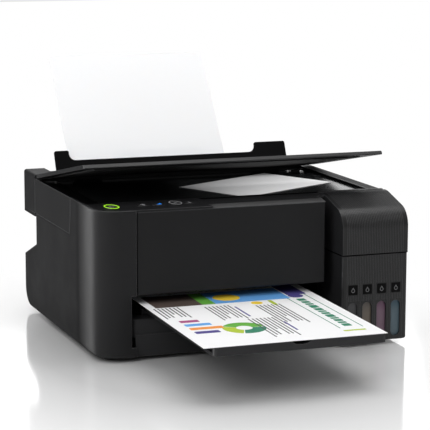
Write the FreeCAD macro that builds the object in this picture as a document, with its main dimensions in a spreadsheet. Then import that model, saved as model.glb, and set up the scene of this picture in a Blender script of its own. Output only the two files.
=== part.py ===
import FreeCAD, Part
import math
import operator
import os
import Sketcher
from types import SimpleNamespace
from FreeCAD import Placement, Rotation, Vector

# An all-in-one ink tank printer, in millimetres, standing on z = 0.
# +X is towards the ink tanks, +Y towards the rear, and the origin is the middle of the case's footprint.

SIZES = {
    # outer case
    "case_width": 375.0,
    "front_reach": 158.0,
    "panel_reach": 155.0,
    "tank_reach": 173.5,
    "rear_reach": 173.5,
    "rim_height": 174.8,
    "foot_height": 5.0,
    "wall": 2.5,
    "seam": 0.4,
    "overrun": 2.0,
    "corner_radius": 30.0,
    "edge_radius": 4.0,
    "sill_radius": 12.0,
    "rear_radius": 25.0,
    "column_width": 44.5,
    "slot_inset": 6.0,
    "slot_foot": 12.0,
    "flank_bottom": 131.0,
    "flank_front": 43.0,
    "flank_slope": 6.0,
    "flank_bow": 1.5,
    "notch_reach": 60.0,
    "notch_low": 70.0,
    "notch_high": 92.0,
    "rail_width": 15.5,
    "rail_radius": 4.0,
    "hook_reach": 33.5,
    # base pan
    "pan_floor": 3.0,
    "pan_height": 25.0,
    "sill_reach": 152.0,
    "ramp_reach": 150.0,
    "ramp_depth": 22.0,
    "ramp_top": 48.0,
    "ramp_tuck": 4.0,
    "ramp_clear": 5.0,
    "ramp_radius": 8.0,
    # front panel and control strip
    "panel_gap": 1.8,
    "panel_stop": 14.7,
    "panel_bottom": 76.3,
    "panel_return": 37.0,
    "panel_flange": 12.5,
    "panel_radius": 3.0,
    "strip_rear": 97.2,
    "strip_thick": 3.0,
    "ledge_inset": 91.2,
    "ledge_skew": 10.0,
    "ledge_front": 127.0,
    "ledge_drop": 1.6,
    "lip_run": 13.0,
    "lip_fall": 2.4,
    # buttons
    "power_inset": 24.5,
    "power_y": -128.0,
    "power_radius": 7.4,
    "key_y": -125.5,
    "key_radius": 6.4,
    "wireless_inset": 16.6,
    "network_inset": 34.6,
    "copy_inset": 55.6,
    "stop_inset": 72.2,
    "key_proud": 0.9,
    "key_gap": 0.3,
    "key_flange": 1.2,
    # ink tank unit
    "tank_span": 83.5,
    "tank_seam": 109.0,
    "tank_edge": 3.2,
    "tank_corner": 3.0,
    "tank_inset": 42.3,
    "tank_pitch": 18.4,
    "tank_width": 17.8,
    "tank_depth": 61.0,
    "tank_top": 100.0,
    "tank_skin": 1.6,
    "neck_setback": 22.0,
    "neck_radius": 6.0,
    "neck_bore": 4.0,
    "neck_height": 8.0,
    "window_width": 12.0,
    "window_low": 10.0,
    "window_high": 53.0,
    "outlet_z": 16.0,
    "outlet_radius": 3.0,
    "tube_radius": 1.8,
    "tube_pitch": 7.0,
    "tube_inset": 49.5,
    "tube_reach": 34.0,
    "gallery_depth": 4.6,
    "cover_brow": 158.5,
    "cover_crest": 115.0,
    "cover_front_radius": 24.0,
    "cover_top_radius": 45.0,
    "cover_skin": 2.2,
    "cover_nose": 4.3,
    "cover_pin": 1.2,
    "post_width": 3.0,
    "cap_setback": 52.5,
    "cap_rise": 6.0,
    "cap_radius": 7.2,
    "cap_thick": 3.2,
    "cap_pin": 1.5,
    "cap_knuckle": 3.0,
    "cap_half": 5.0,
    "cap_tab": 14.0,
    # scanner unit and document cover
    "unit_rear": 118.0,
    "unit_tuck": 4.8,
    "bed_drop": 2.8,
    "glass_thick": 3.2,
    "glass_lap": 4.5,
    "glass_inset": 29.5,
    "glass_margin": 26.5,
    "cavity_front": 8.8,
    "cavity_wall": 6.0,
    "rim_front": 2.0,
    "rim_rear": 7.0,
    "lid_angle": 10.9,
    "lid_hinge_y": 114.0,
    "lid_hinge_rise": 2.6,
    "lid_front": 105.2,
    "lid_thick": 4.6,
    "lid_gap": 5.0,
    "lid_corner": 4.0,
    "lid_bevel": 5.5,
    "lid_lip": 0.8,
    "mat_inset": 17.0,
    "mat_margin": 8.0,
    "mat_front": 7.0,
    "mat_rear": 17.0,
    "mat_clear": 1.6,
    "mat_sunk": 2.2,
    "knuckle_inset": 67.5,
    "knuckle_half": 15.0,
    "knuckle_radius": 2.2,
    "hinge_pin": 1.2,
    "ear_width": 3.5,
    "lift_pin": 1.5,
    "lift_y": 121.5,
    "lift_rise": 0.4,
    "lug_radius": 2.8,
    "scan_bar_width": 18.0,
    "scan_bar_height": 8.8,
    "scan_rail_radius": 3.0,
    "scan_rail_y": 6.0,
    "scan_rail_z": 146.0,
    "card_length": 160.0,
    "card_width": 111.0,
    "card_angle": 27.6,
    "card_inset": 100.2,
    "card_y": -5.3,
    # rear feeder
    "tower_width": 26.5,
    "tower_gap": 1.2,
    "tower_rise": 4.8,
    "tower_drop": 4.5,
    "tower_edge": 3.2,
    "tower_corner": 3.4,
    "lean_angle": 36.0,
    "sheet_foot_y": 56.4,
    "sheet_foot_z": 76.4,
    "sheet_inset": 4.5,
    "sheet_margin": 16.0,
    "sheet_length": 297.0,
    "sheet_thick": 0.25,
    "sheet_gap": 0.3,
    "support_thick": 2.0,
    "support_inset": 61.7,
    "support_margin": 28.3,
    "support_low": 62.0,
    "support_length": 92.0,
    "chute_length": 122.5,
    "guide_low": 48.0,
    "guide_high": 112.0,
    "guide_depth": 4.0,
    "guide_foot": 16.0,
    "guard_y": 126.0,
    "guard_rise": 0.7,
    "guard_angle": 24.0,
    "guard_clear": 4.4,
    "guard_strip": 19.0,
    "guard_horn": 32.0,
    "guard_left_horn": 19.0,
    "guard_right_horn": 43.0,
    "guard_thick": 2.4,
    "guard_left_radius": 8.0,
    "guard_right_radius": 9.5,
    "guard_pin": 1.5,
    # output tray and printed page
    "tray_inset": 16.2,
    "tray_margin": 17.3,
    "tray_reach": 363.0,
    "tray_length": 228.0,
    "tray_bottom": 52.3,
    "tray_thick": 2.5,
    "tray_lip": 9.5,
    "tray_lip_depth": 6.0,
    "tray_corner": 10.0,
    "tray_rail": 3.0,
    "tray_ledge": 6.0,
    "page_angle": 0.95,
    # print engine
    "frame_clear": 24.5,
    "frame_sheet": 1.5,
    "frame_front": 82.0,
    "frame_rear": 66.0,
    "frame_top": 127.0,
    "web_y": 6.0,
    "web_bottom": 86.0,
    "web_flange": 20.0,
    "roller_z": 61.1,
    "feed_y": 3.0,
    "feed_radius": 5.4,
    "shaft_radius": 3.0,
    "running_fit": 0.06,
    "gear_module": 1.0,
    "gear_width": 6.0,
    "feed_teeth": 40.0,
    "idler_teeth": 43.0,
    "exit_teeth": 24.0,
    "pinion_teeth": 12.0,
    "motor_radius": 13.0,
    "motor_length": 20.0,
    "motor_shaft": 1.5,
    "pickup_radius": 15.8,
    "pickup_rise": 20.0,
    "pickup_half": 22.0,
    "guide_rod_y": -12.0,
    "guide_rod_z": 88.0,
    "guide_rod_radius": 4.0,
    "carriage_park": 49.0,
    "carriage_half": 36.0,
    "carriage_front": 60.0,
    "carriage_rear": 4.0,
    "carriage_bottom": 76.0,
    "carriage_top": 120.0,
    "carriage_skin": 3.0,
    "carriage_radius": 5.0,
    "head_height": 6.5,
    "head_inset": 8.0,
    "belt_z": 104.0,
    "belt_width": 4.0,
    "belt_thick": 1.0,
    "pulley_radius": 5.2,
    "pulley_inset": 17.0,
    "platen_inset": 24.0,
    "platen_margin": 31.0,
    "platen_front": 62.0,
    "platen_rear": 9.0,
    "platen_top": 65.2,
    "platen_leg": 3.0,
    "rib_count": 12.0,
    "rib_width": 1.6,
    "rib_height": 0.9,
    "chute_guide_end": 52.0,
    "chute_guide_rise": 6.5,
    "station_half": 29.0,
    "station_front": 56.0,
    "station_rear": 8.0,
    "station_top": 58.0,
    "station_lip": 2.5,
    # electrics and small parts
    "supply_inset": 57.6,
    "supply_width": 70.0,
    "supply_depth": 56.0,
    "supply_height": 34.0,
    "board_step": 100.0,
    "board_width": 110.0,
    "board_depth": 56.0,
    "board_rise": 6.0,
    "board_thick": 1.6,
    "electrics_y": 76.0,
    "pad_height": 18.0,
    "pad_front": 112.0,
    "pad_depth": 36.0,
    "inlet_inset": 21.5,
    "inlet_z": 109.0,
    "inlet_width": 25.0,
    "inlet_height": 15.0,
    "inlet_depth": 18.0,
    "inlet_pin_pitch": 8.6,
    "inlet_pin": 1.2,
    "inlet_flange": 2.0,
    "inlet_collar": 1.8,
    "port_inset": 67.5,
    "port_strip": 20.0,
    "port_z": 42.0,
    "port_width": 12.0,
    "port_height": 10.6,
    "port_depth": 16.0,
    "port_skin": 1.2,
    "foot_radius": 9.0,
    "screw_head": 3.4,
    "screw_radius": 1.6,
    "screw_length": 9.0,
    "screw_inset": 14.0,
    "screw_low": 45.0,
    "screw_high": 116.0,
}

OPERATIONS = {"+": operator.add, "-": operator.sub, "*": operator.mul, "/": operator.truediv}


class Size:
    """A size as a number and as the text that reads it from the sheet."""

    def __init__(self, text, value):
        self.text = text
        self.value = float(value)

    def __add__(self, other):
        return combined(self, "+", other)

    def __radd__(self, other):
        return combined(other, "+", self)

    def __sub__(self, other):
        return combined(self, "-", other)

    def __rsub__(self, other):
        return combined(other, "-", self)

    def __mul__(self, other):
        return combined(self, "*", other)

    def __rmul__(self, other):
        return combined(other, "*", self)

    def __truediv__(self, other):
        return combined(self, "/", other)

    def __rtruediv__(self, other):
        return combined(other, "/", self)

    def __neg__(self):
        return combined(0, "-", self)


def as_size(thing):
    return thing if isinstance(thing, Size) else Size(f"({float(thing):.6f})", thing)


def combined(first, sign, second):
    first = as_size(first)
    second = as_size(second)
    value = OPERATIONS[sign](first.value, second.value)
    return Size(f"({first.text} {sign} {second.text})", value)


def sine(angle):
    return Size(f"sin({angle.text} * 1 deg)", math.sin(math.radians(angle.value)))


def cosine(angle):
    return Size(f"cos({angle.text} * 1 deg)", math.cos(math.radians(angle.value)))


def tangent(angle):
    return sine(angle) / cosine(angle)


doc = FreeCAD.newDocument("InkTankPrinter")
sheet = doc.addObject("Spreadsheet::Sheet", "Sizes")
for row, (alias, size) in enumerate(SIZES.items(), start=1):
    sheet.set(f"A{row}", alias.replace("_", " "))
    sheet.set(f"B{row}", str(size))
    sheet.setAlias(f"B{row}", alias)
doc.recompute()

S = SimpleNamespace(**{alias: Size(f"Sizes.{alias}", size) for alias, size in SIZES.items()})
PIECES = []


def piece(made, label):
    """Name a finished sub-part; the label is also its file's name."""
    made.Label = label
    PIECES.append(made)
    return made


def bind(thing, prop, size):
    thing.setExpression(prop, as_size(size).text)


def place(thing, x=0, y=0, z=0, axis=None, angle=0):
    """Bind a thing's place and its turn about one axis."""
    if axis is not None:
        thing.Placement = Placement(Vector(), Rotation(axis, as_size(angle).value))
        bind(thing, "Placement.Rotation.Angle", angle)
    for letter, size in zip("xyz", (x, y, z)):
        bind(thing, f"Placement.Base.{letter}", size)
    return thing


def block(name, x, y, z):
    """A box from (low, high) on each axis."""
    made = doc.addObject("Part::Box", name)
    for prop, (low, high) in zip(("Length", "Width", "Height"), (x, y, z)):
        bind(made, prop, as_size(high) - low)
    return place(made, x[0], y[0], z[0])


ALONG = {"x": Rotation(Vector(0, 1, 0), 90), "y": Rotation(Vector(1, 0, 0), -90), "z": Rotation()}


def rod(name, axis, span, radius, x=0, y=0, z=0):
    """A round bar along an axis between two places on it."""
    made = doc.addObject("Part::Cylinder", name)
    bind(made, "Radius", radius)
    bind(made, "Height", as_size(span[1]) - span[0])
    made.Placement = Placement(Vector(), ALONG[axis])
    spot = {"x": x, "y": y, "z": z, axis: span[0]}
    for letter in "xyz":
        bind(made, f"Placement.Base.{letter}", spot[letter])
    return made


def join(name, *parts):
    made = doc.addObject("Part::MultiFuse", name)
    made.Shapes = list(parts)
    return made


def group(name, parts):
    """Separate solids that share one node."""
    made = doc.addObject("Part::Compound", name)
    made.Links = list(parts)
    return made


def cut(name, base, *tools):
    made = doc.addObject("Part::Cut", name)
    made.Base = base
    made.Tool = tools[0] if len(tools) == 1 else join(name + "_tools", *tools)
    return made


def body(name):
    return doc.addObject("PartDesign::Body", name)


def sketch(owner, role, level):
    made = owner.newObject("Sketcher::SketchObject", owner.Name + "_sketch")
    plane = next(feature for feature in owner.Origin.OriginFeatures if feature.Role == role)
    made.AttachmentSupport = [(plane, "")]
    made.MapMode = "FlatFace"
    bind(made, "AttachmentOffset.Base.z", level)
    return made


def outline(owner, role, corners, level=0):
    """A closed straight-sided outline on an origin plane, every corner bound to the sheet."""
    made = sketch(owner, role, level)
    sizes = [(as_size(across), as_size(up)) for across, up in corners]
    spots = [Vector(across.value, up.value, 0) for across, up in sizes]
    count = len(spots)
    for n in range(count):
        made.addGeometry(Part.LineSegment(spots[n], spots[(n + 1) % count]), False)
    for n in range(count):
        made.addConstraint(Sketcher.Constraint("Coincident", n, 2, (n + 1) % count, 1))
    for n, corner in enumerate(sizes):
        for kind, size in zip(("DistanceX", "DistanceY"), corner):
            at = made.addConstraint(Sketcher.Constraint(kind, -1, 1, n, 1, size.value))
            bind(made, f"Constraints[{at}]", size)
    return made


def circles(owner, role, radii, level=0):
    """Circles about the sketch's own origin, each radius bound to the sheet."""
    made = sketch(owner, role, level)
    for n, radius in enumerate(radii):
        made.addGeometry(Part.Circle(Vector(), Vector(0, 0, 1), radius.value), False)
        made.addConstraint(Sketcher.Constraint("Coincident", n, 3, -1, 1))
        at = made.addConstraint(Sketcher.Constraint("Radius", n, radius.value))
        bind(made, f"Constraints[{at}]", radius)
    return made


def pad(owner, drawn, length):
    made = owner.newObject("PartDesign::Pad", owner.Name + "_pad")
    made.Profile = drawn
    bind(made, "Length", length)
    doc.recompute()
    return made


def near_any(value, sizes):
    options = sizes if isinstance(sizes, tuple) else (sizes,)
    return any(abs(value - as_size(size).value) < 0.01 for size in options)


def lies_at(points, where):
    """Whether every point has the coordinates, or one of the few, that where gives."""
    return all(near_any(getattr(point, letter), sizes) for point in points for letter, sizes in where.items())


def edges_at(shape, where):
    found = []
    for n, edge in enumerate(shape.Edges, start=1):
        if lies_at([vertex.Point for vertex in edge.Vertexes], where):
            found.append(f"Edge{n}")
    return found


def faces_at(shape, where):
    found = []
    for n, face in enumerate(shape.Faces, start=1):
        if lies_at([vertex.Point for vertex in face.Vertexes], where):
            found.append(f"Face{n}")
    return found


def fillet(owner, base, radius, *wheres):
    """Round the edges whose ends lie at the given places, and what runs on smoothly from them."""
    made = owner.newObject("PartDesign::Fillet", owner.Name + "_fillet")
    made.Base = (base, [name for where in wheres for name in edges_at(base.Shape, where)])
    bind(made, "Radius", radius)
    doc.recompute()
    return made


def shell(owner, base, thickness, *openings):
    """Hollow a solid to a wall inside its outer faces, open at the given faces."""
    made = owner.newObject("PartDesign::Thickness", owner.Name + "_shell")
    made.Base = (base, [name for where in openings for name in faces_at(base.Shape, where)])
    made.Reversed = True
    bind(made, "Value", thickness)
    doc.recompute()
    return made


LEFT = -S.case_width / 2
RIGHT = S.case_width / 2
FRONT = -S.front_reach
PANEL = -S.panel_reach
TANK_FRONT = -S.tank_reach
REAR = S.rear_reach + 0
TOP = S.rim_height
UNDER = S.foot_height
COLUMN = LEFT + S.column_width
RAIL = RIGHT - S.rail_width
STRIP = -S.strip_rear
PAN_LEFT = COLUMN + S.seam
PAN_RIGHT = RAIL - S.seam
PAN_REAR = REAR - S.hook_reach - S.seam
PAN_FLOOR = UNDER + S.pan_floor
NOTCH = REAR - S.notch_reach
UPPER = S.flank_bottom + S.seam
PANEL_TOP = TOP - S.strip_thick
UNIT_FRONT = STRIP + S.seam
TOWER = S.unit_rear + S.tower_gap
PAST = S.overrun + 0

# where the pieces stand across the case
TANK_LEFT = RIGHT - S.tank_span
TANK_MIDDLE = RIGHT - S.tank_inset
TUBE_X = RIGHT - S.tube_inset
PANEL_LEFT = COLUMN + S.panel_gap
PANEL_RIGHT = TANK_LEFT - S.panel_stop
LEDGE_LEFT = PANEL_LEFT + S.ledge_inset
RAMP_LEFT = COLUMN - S.ramp_tuck
RAMP_RIGHT = TANK_LEFT - S.ramp_clear
TRAY_LEFT = PANEL_LEFT + S.tray_inset
TRAY_RIGHT = PANEL_RIGHT - S.tray_margin
SHEET_LEFT = PANEL_LEFT + S.sheet_inset
SHEET_RIGHT = PANEL_RIGHT - S.sheet_margin
SUPPORT_LEFT = SHEET_LEFT + S.support_inset
SUPPORT_RIGHT = SHEET_RIGHT - S.support_margin
PICKUP_X = (SHEET_LEFT + SHEET_RIGHT) / 2
GLASS_LEFT = LEFT + S.glass_inset
GLASS_RIGHT = RIGHT - S.glass_margin
CARD_X = GLASS_RIGHT - S.card_inset
KNUCKLE_X = RIGHT - S.knuckle_inset
TOWER_INNER = RIGHT - S.tower_width
GUARD_HALF = TOWER_INNER - S.guard_clear
FRAME_HALF = RIGHT - S.frame_clear
CARRIAGE_X = FRAME_HALF - S.carriage_park
PULLEY_X = FRAME_HALF - S.pulley_inset
PLATEN_LEFT = S.platen_inset - FRAME_HALF
PLATEN_RIGHT = CARRIAGE_X - S.platen_margin
SUPPLY_X = PAN_LEFT + S.supply_inset
BOARD_X = SUPPLY_X + S.board_step
INLET_X = LEFT + S.inlet_inset
PORT_X = RIGHT - S.port_inset
PORT_SEAM = PORT_X - S.port_strip


def leaning(name, x, y, z):
    """A box in the loaded paper's plane: y is behind the sheet and z runs up it from its foot."""
    made = block(name, x, y, z)
    low_y = as_size(y[0])
    low_z = as_size(z[0])
    base_y = S.sheet_foot_y + low_y * cosine(S.lean_angle) + low_z * sine(S.lean_angle)
    base_z = S.sheet_foot_z - low_y * sine(S.lean_angle) + low_z * cosine(S.lean_angle)
    return place(made, x[0], base_y, base_z, Vector(1, 0, 0), -S.lean_angle)


FLANK_MIDDLE = (TOP + S.flank_bottom) / 2


def flank_edge(gap):
    """The seam before the scanner's flank, bowed to follow its swing: low, middle and top places in y."""
    top = -S.flank_front + gap
    low = top + S.flank_slope
    return low, (low + top) / 2 - S.flank_bow, top


def left_housing():
    """The left wall with the rounded front column and the grip notch at the rear."""
    made = body("left_housing_case")
    flank = flank_edge(0)
    corners = [
        (FRONT, UNDER),
        (REAR, UNDER),
        (REAR, S.notch_low),
        (NOTCH, S.notch_high),
        (NOTCH, S.flank_bottom),
        (flank[0], S.flank_bottom),
        (flank[1], FLANK_MIDDLE),
        (flank[2], TOP),
        (FRONT, TOP),
    ]
    solid = pad(made, outline(made, "YZ_Plane", corners, LEFT), S.column_width)
    solid = fillet(made, solid, S.corner_radius, {"x": LEFT, "y": FRONT})
    solid = fillet(made, solid, S.rear_radius, {"y": REAR, "z": UNDER})
    solid = fillet(made, solid, S.edge_radius, {"x": LEFT, "z": UNDER})
    shell(
        made,
        solid,
        S.wall,
        {"x": COLUMN},
        {"z": TOP},
        {"y": flank},
        {"z": S.flank_bottom},
    )
    slot = block(
        "column_slot",
        (COLUMN - S.slot_inset, COLUMN + PAST),
        (FRONT - PAST, FRONT + S.wall + PAST),
        (UNDER + S.slot_foot, S.panel_bottom),
    )
    half_width = S.inlet_width / 2 + S.seam
    half_height = S.inlet_height / 2 + S.seam
    inlet = block(
        "inlet_hole",
        (INLET_X - half_width, INLET_X + half_width),
        (NOTCH - S.wall - PAST, NOTCH + PAST),
        (S.inlet_z - half_height, S.inlet_z + half_height),
    )
    piece(cut("left_housing_cut", made, slot, inlet), "left_housing")


def right_housing():
    """The right wall and the rail along its top, behind the tanks."""
    made = body("right_housing_case")
    corners = [(UNIT_FRONT, UNDER), (REAR, UNDER), (REAR, TOP), (UNIT_FRONT, TOP)]
    solid = pad(made, outline(made, "YZ_Plane", corners, RAIL), S.rail_width)
    solid = fillet(made, solid, S.rear_radius, {"y": REAR, "z": UNDER})
    solid = fillet(made, solid, S.sill_radius, {"x": RIGHT, "z": UNDER})
    solid = fillet(made, solid, S.rail_radius, {"x": RIGHT, "z": TOP})
    shell(made, solid, S.wall, {"x": RAIL})
    piece(made, "right_housing")


def back_panel(name, low, high, screw_x):
    """A stretch of the lower back wall that curves under to the base, with its cutters and two screws."""
    made = body(f"{name}_plate")
    hook = REAR - S.hook_reach
    corners = [(hook, UNDER), (REAR, UNDER), (REAR, S.flank_bottom), (hook, S.flank_bottom)]
    solid = pad(made, outline(made, "YZ_Plane", corners, low), high - low)
    solid = fillet(made, solid, S.rear_radius, {"y": REAR, "z": UNDER})
    shell(made, solid, S.wall, {"y": hook}, {"z": S.flank_bottom}, {"x": low}, {"x": high})
    seat = REAR - S.wall / 2
    head_span = (seat, REAR - S.seam / 2)
    hole_span = (REAR - S.wall - PAST, seat)
    shank_span = (REAR - S.screw_length, seat)
    tools = []
    screws = []
    for level, z in (("low", S.screw_low), ("high", S.screw_high)):
        tag = f"{name}_{level}"
        at = {"x": screw_x, "z": z}
        tools.append(rod(f"{tag}_seat", "y", (seat, REAR + PAST), S.screw_head + S.seam, **at))
        tools.append(rod(f"{tag}_hole", "y", hole_span, S.screw_radius + S.running_fit, **at))
        head = rod(f"{tag}_head", "y", head_span, S.screw_head, **at)
        shank = rod(f"{tag}_shank", "y", shank_span, S.screw_radius, **at)
        screws.append(join(f"{tag}_screw", head, shank))
    return made, tools, screws


def rear_cover():
    """The lower back wall in two: a wide cover, and beside it the panel round the data socket."""
    inner = PAN_LEFT + S.screw_inset
    made, tools, screws = back_panel("back_left", PAN_LEFT, PORT_SEAM - S.seam, inner)
    piece(cut("rear_cover_cut", made, *tools), "rear_cover")
    outer = PAN_RIGHT - S.screw_inset
    made, tools, others = back_panel("back_right", PORT_SEAM, PAN_RIGHT, outer)
    half_width = S.port_width / 2 + S.seam
    half_height = S.port_height / 2 + S.seam
    hole = block(
        "port_hole",
        (PORT_X - half_width, PORT_X + half_width),
        (REAR - S.wall - PAST, REAR + PAST),
        (S.port_z - half_height, S.port_z + half_height),
    )
    piece(cut("port_panel_cut", made, hole, *tools), "port_panel")
    piece(group("screw_set", screws + others), "case_screws")


def usb_port():
    """A square data socket with its tongue, flush with the back."""
    half_width = S.port_width / 2
    half_height = S.port_height / 2
    skin = S.port_skin
    can = block(
        "port_can",
        (PORT_X - half_width, PORT_X + half_width),
        (REAR - S.port_depth, REAR - S.seam),
        (S.port_z - half_height, S.port_z + half_height),
    )
    mouth = block(
        "port_mouth",
        (PORT_X - half_width + skin, PORT_X + half_width - skin),
        (REAR - S.port_depth + skin * 2, REAR + PAST),
        (S.port_z - half_height + skin, S.port_z + half_height - skin),
    )
    tongue = block(
        "port_tongue",
        (PORT_X - half_width / 2, PORT_X + half_width / 2),
        (REAR - S.port_depth + skin, REAR - S.port_depth / 4),
        (S.port_z + half_height / 8, S.port_z + half_height / 2),
    )
    piece(join("port", cut("port_shell", can, mouth), tongue), "usb_port")


def ac_inlet():
    """The two-pin mains inlet in the notch's wall."""
    half_width = S.inlet_width / 2
    half_height = S.inlet_height / 2
    flange = S.inlet_flange
    collar = S.inlet_collar
    case = block(
        "inlet_case",
        (INLET_X - half_width, INLET_X + half_width),
        (NOTCH - S.inlet_depth, NOTCH),
        (S.inlet_z - half_height, S.inlet_z + half_height),
    )
    plate = block(
        "inlet_plate",
        (INLET_X - half_width - flange, INLET_X + half_width + flange),
        (NOTCH, NOTCH + collar),
        (S.inlet_z - half_height - flange, S.inlet_z + half_height + flange),
    )
    socket = half_height * 0.6
    reach = (NOTCH - S.inlet_depth * 0.7, NOTCH + collar + PAST)
    left = INLET_X - S.inlet_pin_pitch / 2
    right = INLET_X + S.inlet_pin_pitch / 2
    hollow = [
        rod("inlet_well_left", "y", reach, socket, x=left, z=S.inlet_z),
        rod("inlet_well_right", "y", reach, socket, x=right, z=S.inlet_z),
        block("inlet_well", (left, right), reach, (S.inlet_z - socket, S.inlet_z + socket)),
    ]
    pin_span = (NOTCH - S.inlet_depth * 0.8, NOTCH - collar)
    pins = [
        rod(f"inlet_pin_{n}", "y", pin_span, S.inlet_pin, x=x, z=S.inlet_z)
        for n, x in enumerate((left, right))
    ]
    bare = cut("inlet_bare", join("inlet_solid", case, plate), *hollow)
    piece(join("inlet", bare, *pins), "ac_inlet")


def base_tray():
    """The base pan with the tray's runners and the ramp under the output slot."""
    made = body("base_pan")
    tank_rear = STRIP + S.seam
    corners = [
        (PAN_LEFT, -S.sill_reach),
        (TANK_LEFT - S.seam, -S.sill_reach),
        (TANK_LEFT - S.seam, tank_rear),
        (PAN_RIGHT, tank_rear),
        (PAN_RIGHT, PAN_REAR),
        (PAN_LEFT, PAN_REAR),
    ]
    solid = pad(made, outline(made, "XY_Plane", corners, UNDER), S.pan_height)
    shell(made, solid, S.pan_floor, {"z": UNDER + S.pan_height})
    ramp = body("base_ramp")
    back = -S.ramp_reach + S.ramp_depth
    corners = [
        (RAMP_LEFT, -S.ramp_reach),
        (RAMP_RIGHT, -S.ramp_reach),
        (RAMP_RIGHT, back),
        (RAMP_LEFT, back),
    ]
    pan_top = UNDER + S.pan_height
    root = pan_top - S.pan_floor
    solid = pad(ramp, outline(ramp, "XY_Plane", corners, root), S.ramp_top - root)
    solid = fillet(ramp, solid, S.ramp_radius, {"x": RAMP_LEFT, "y": -S.ramp_reach})
    fillet(ramp, solid, S.ramp_radius / 4, {"y": -S.ramp_reach, "z": S.ramp_top})
    runners = []
    reach = (back - S.pan_floor, S.electrics_y - S.pan_floor)
    wall_top = S.tray_bottom + S.tray_thick + S.seam / 2
    ledge_top = S.tray_bottom - S.sheet_gap
    sides = ((TRAY_LEFT, -1), (TRAY_RIGHT, 1))
    for n, (edge, way) in enumerate(sides):
        inner = edge + S.seam * way
        outer = inner + S.tray_rail * way
        under = edge - S.tray_ledge * way
        low, high = (outer, inner) if way < 0 else (inner, outer)
        runners.append(block(f"runner_wall_{n}", (low, high), reach, (PAN_FLOOR, wall_top)))
        low, high = (outer, under) if way < 0 else (under, outer)
        ledge_bottom = ledge_top - S.tray_rail
        runners.append(block(f"runner_ledge_{n}", (low, high), reach, (ledge_bottom, ledge_top)))
    tube_y = (tank_rear - PAST, tank_rear + S.pan_floor + PAST)
    holes = [
        rod(f"pan_tube_{n}", "y", tube_y, S.tube_radius + S.seam, x=x, z=S.outlet_z)
        for n, x in enumerate(tube_places())
    ]
    piece(cut("base", join("base_solid", made, ramp, *runners), *holes), "base_tray")


def rubber_feet():
    """Four feet under the case's flat underside."""
    flare = 1.0
    left = COLUMN - S.column_width / 2
    right = (TANK_LEFT + RIGHT) / 2
    front = FRONT + S.corner_radius
    rear = PAN_REAR - S.foot_radius * 2
    feet = []
    for n, (x, y) in enumerate(((left, front), (right, front), (left, rear), (right, rear))):
        foot = doc.addObject("Part::Cone", f"foot_{n}")
        bind(foot, "Radius1", S.foot_radius - flare)
        bind(foot, "Radius2", S.foot_radius)
        bind(foot, "Height", S.foot_height)
        feet.append(place(foot, x, y, 0))
    piece(group("foot_set", feet), "rubber_feet")


def front_panel():
    """The fascia over the output slot, with its return beside the tanks."""
    made = body("front_fascia")
    inner = TANK_LEFT - S.seam
    back = PANEL + S.panel_return
    corners = [
        (PANEL_LEFT, PANEL),
        (PANEL_RIGHT, PANEL),
        (PANEL_RIGHT, back),
        (inner, back),
        (inner, back + S.wall),
        (PANEL_RIGHT - S.wall, back + S.wall),
        (PANEL_RIGHT - S.wall, PANEL + S.wall),
        (PANEL_LEFT, PANEL + S.wall),
    ]
    solid = pad(made, outline(made, "XY_Plane", corners, S.panel_bottom), PANEL_TOP - S.panel_bottom)
    edges = ({"x": PANEL_RIGHT, "y": PANEL}, {"y": PANEL, "z": S.panel_bottom})
    fillet(made, solid, S.panel_radius / 2, *edges)
    flange = block(
        "front_flange",
        (PANEL_LEFT, PANEL_RIGHT - S.wall / 2),
        (PANEL + S.wall / 2, PANEL + S.wall + S.panel_flange),
        (S.panel_bottom + S.panel_radius, S.panel_bottom + S.panel_radius + S.wall),
    )
    piece(join("front", made, flange), "front_panel")


def button_places():
    """Each button: its name, place and radius."""
    keys = (
        ("wireless", PANEL_LEFT + S.wireless_inset),
        ("network", PANEL_LEFT + S.network_inset),
        ("copy", PANEL_LEFT + S.copy_inset),
        ("stop", PANEL_LEFT + S.stop_inset),
    )
    places = [("power", LEFT + S.power_inset, S.power_y, S.power_radius)]
    return places + [(name, x, S.key_y, S.key_radius) for name, x in keys]


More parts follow.
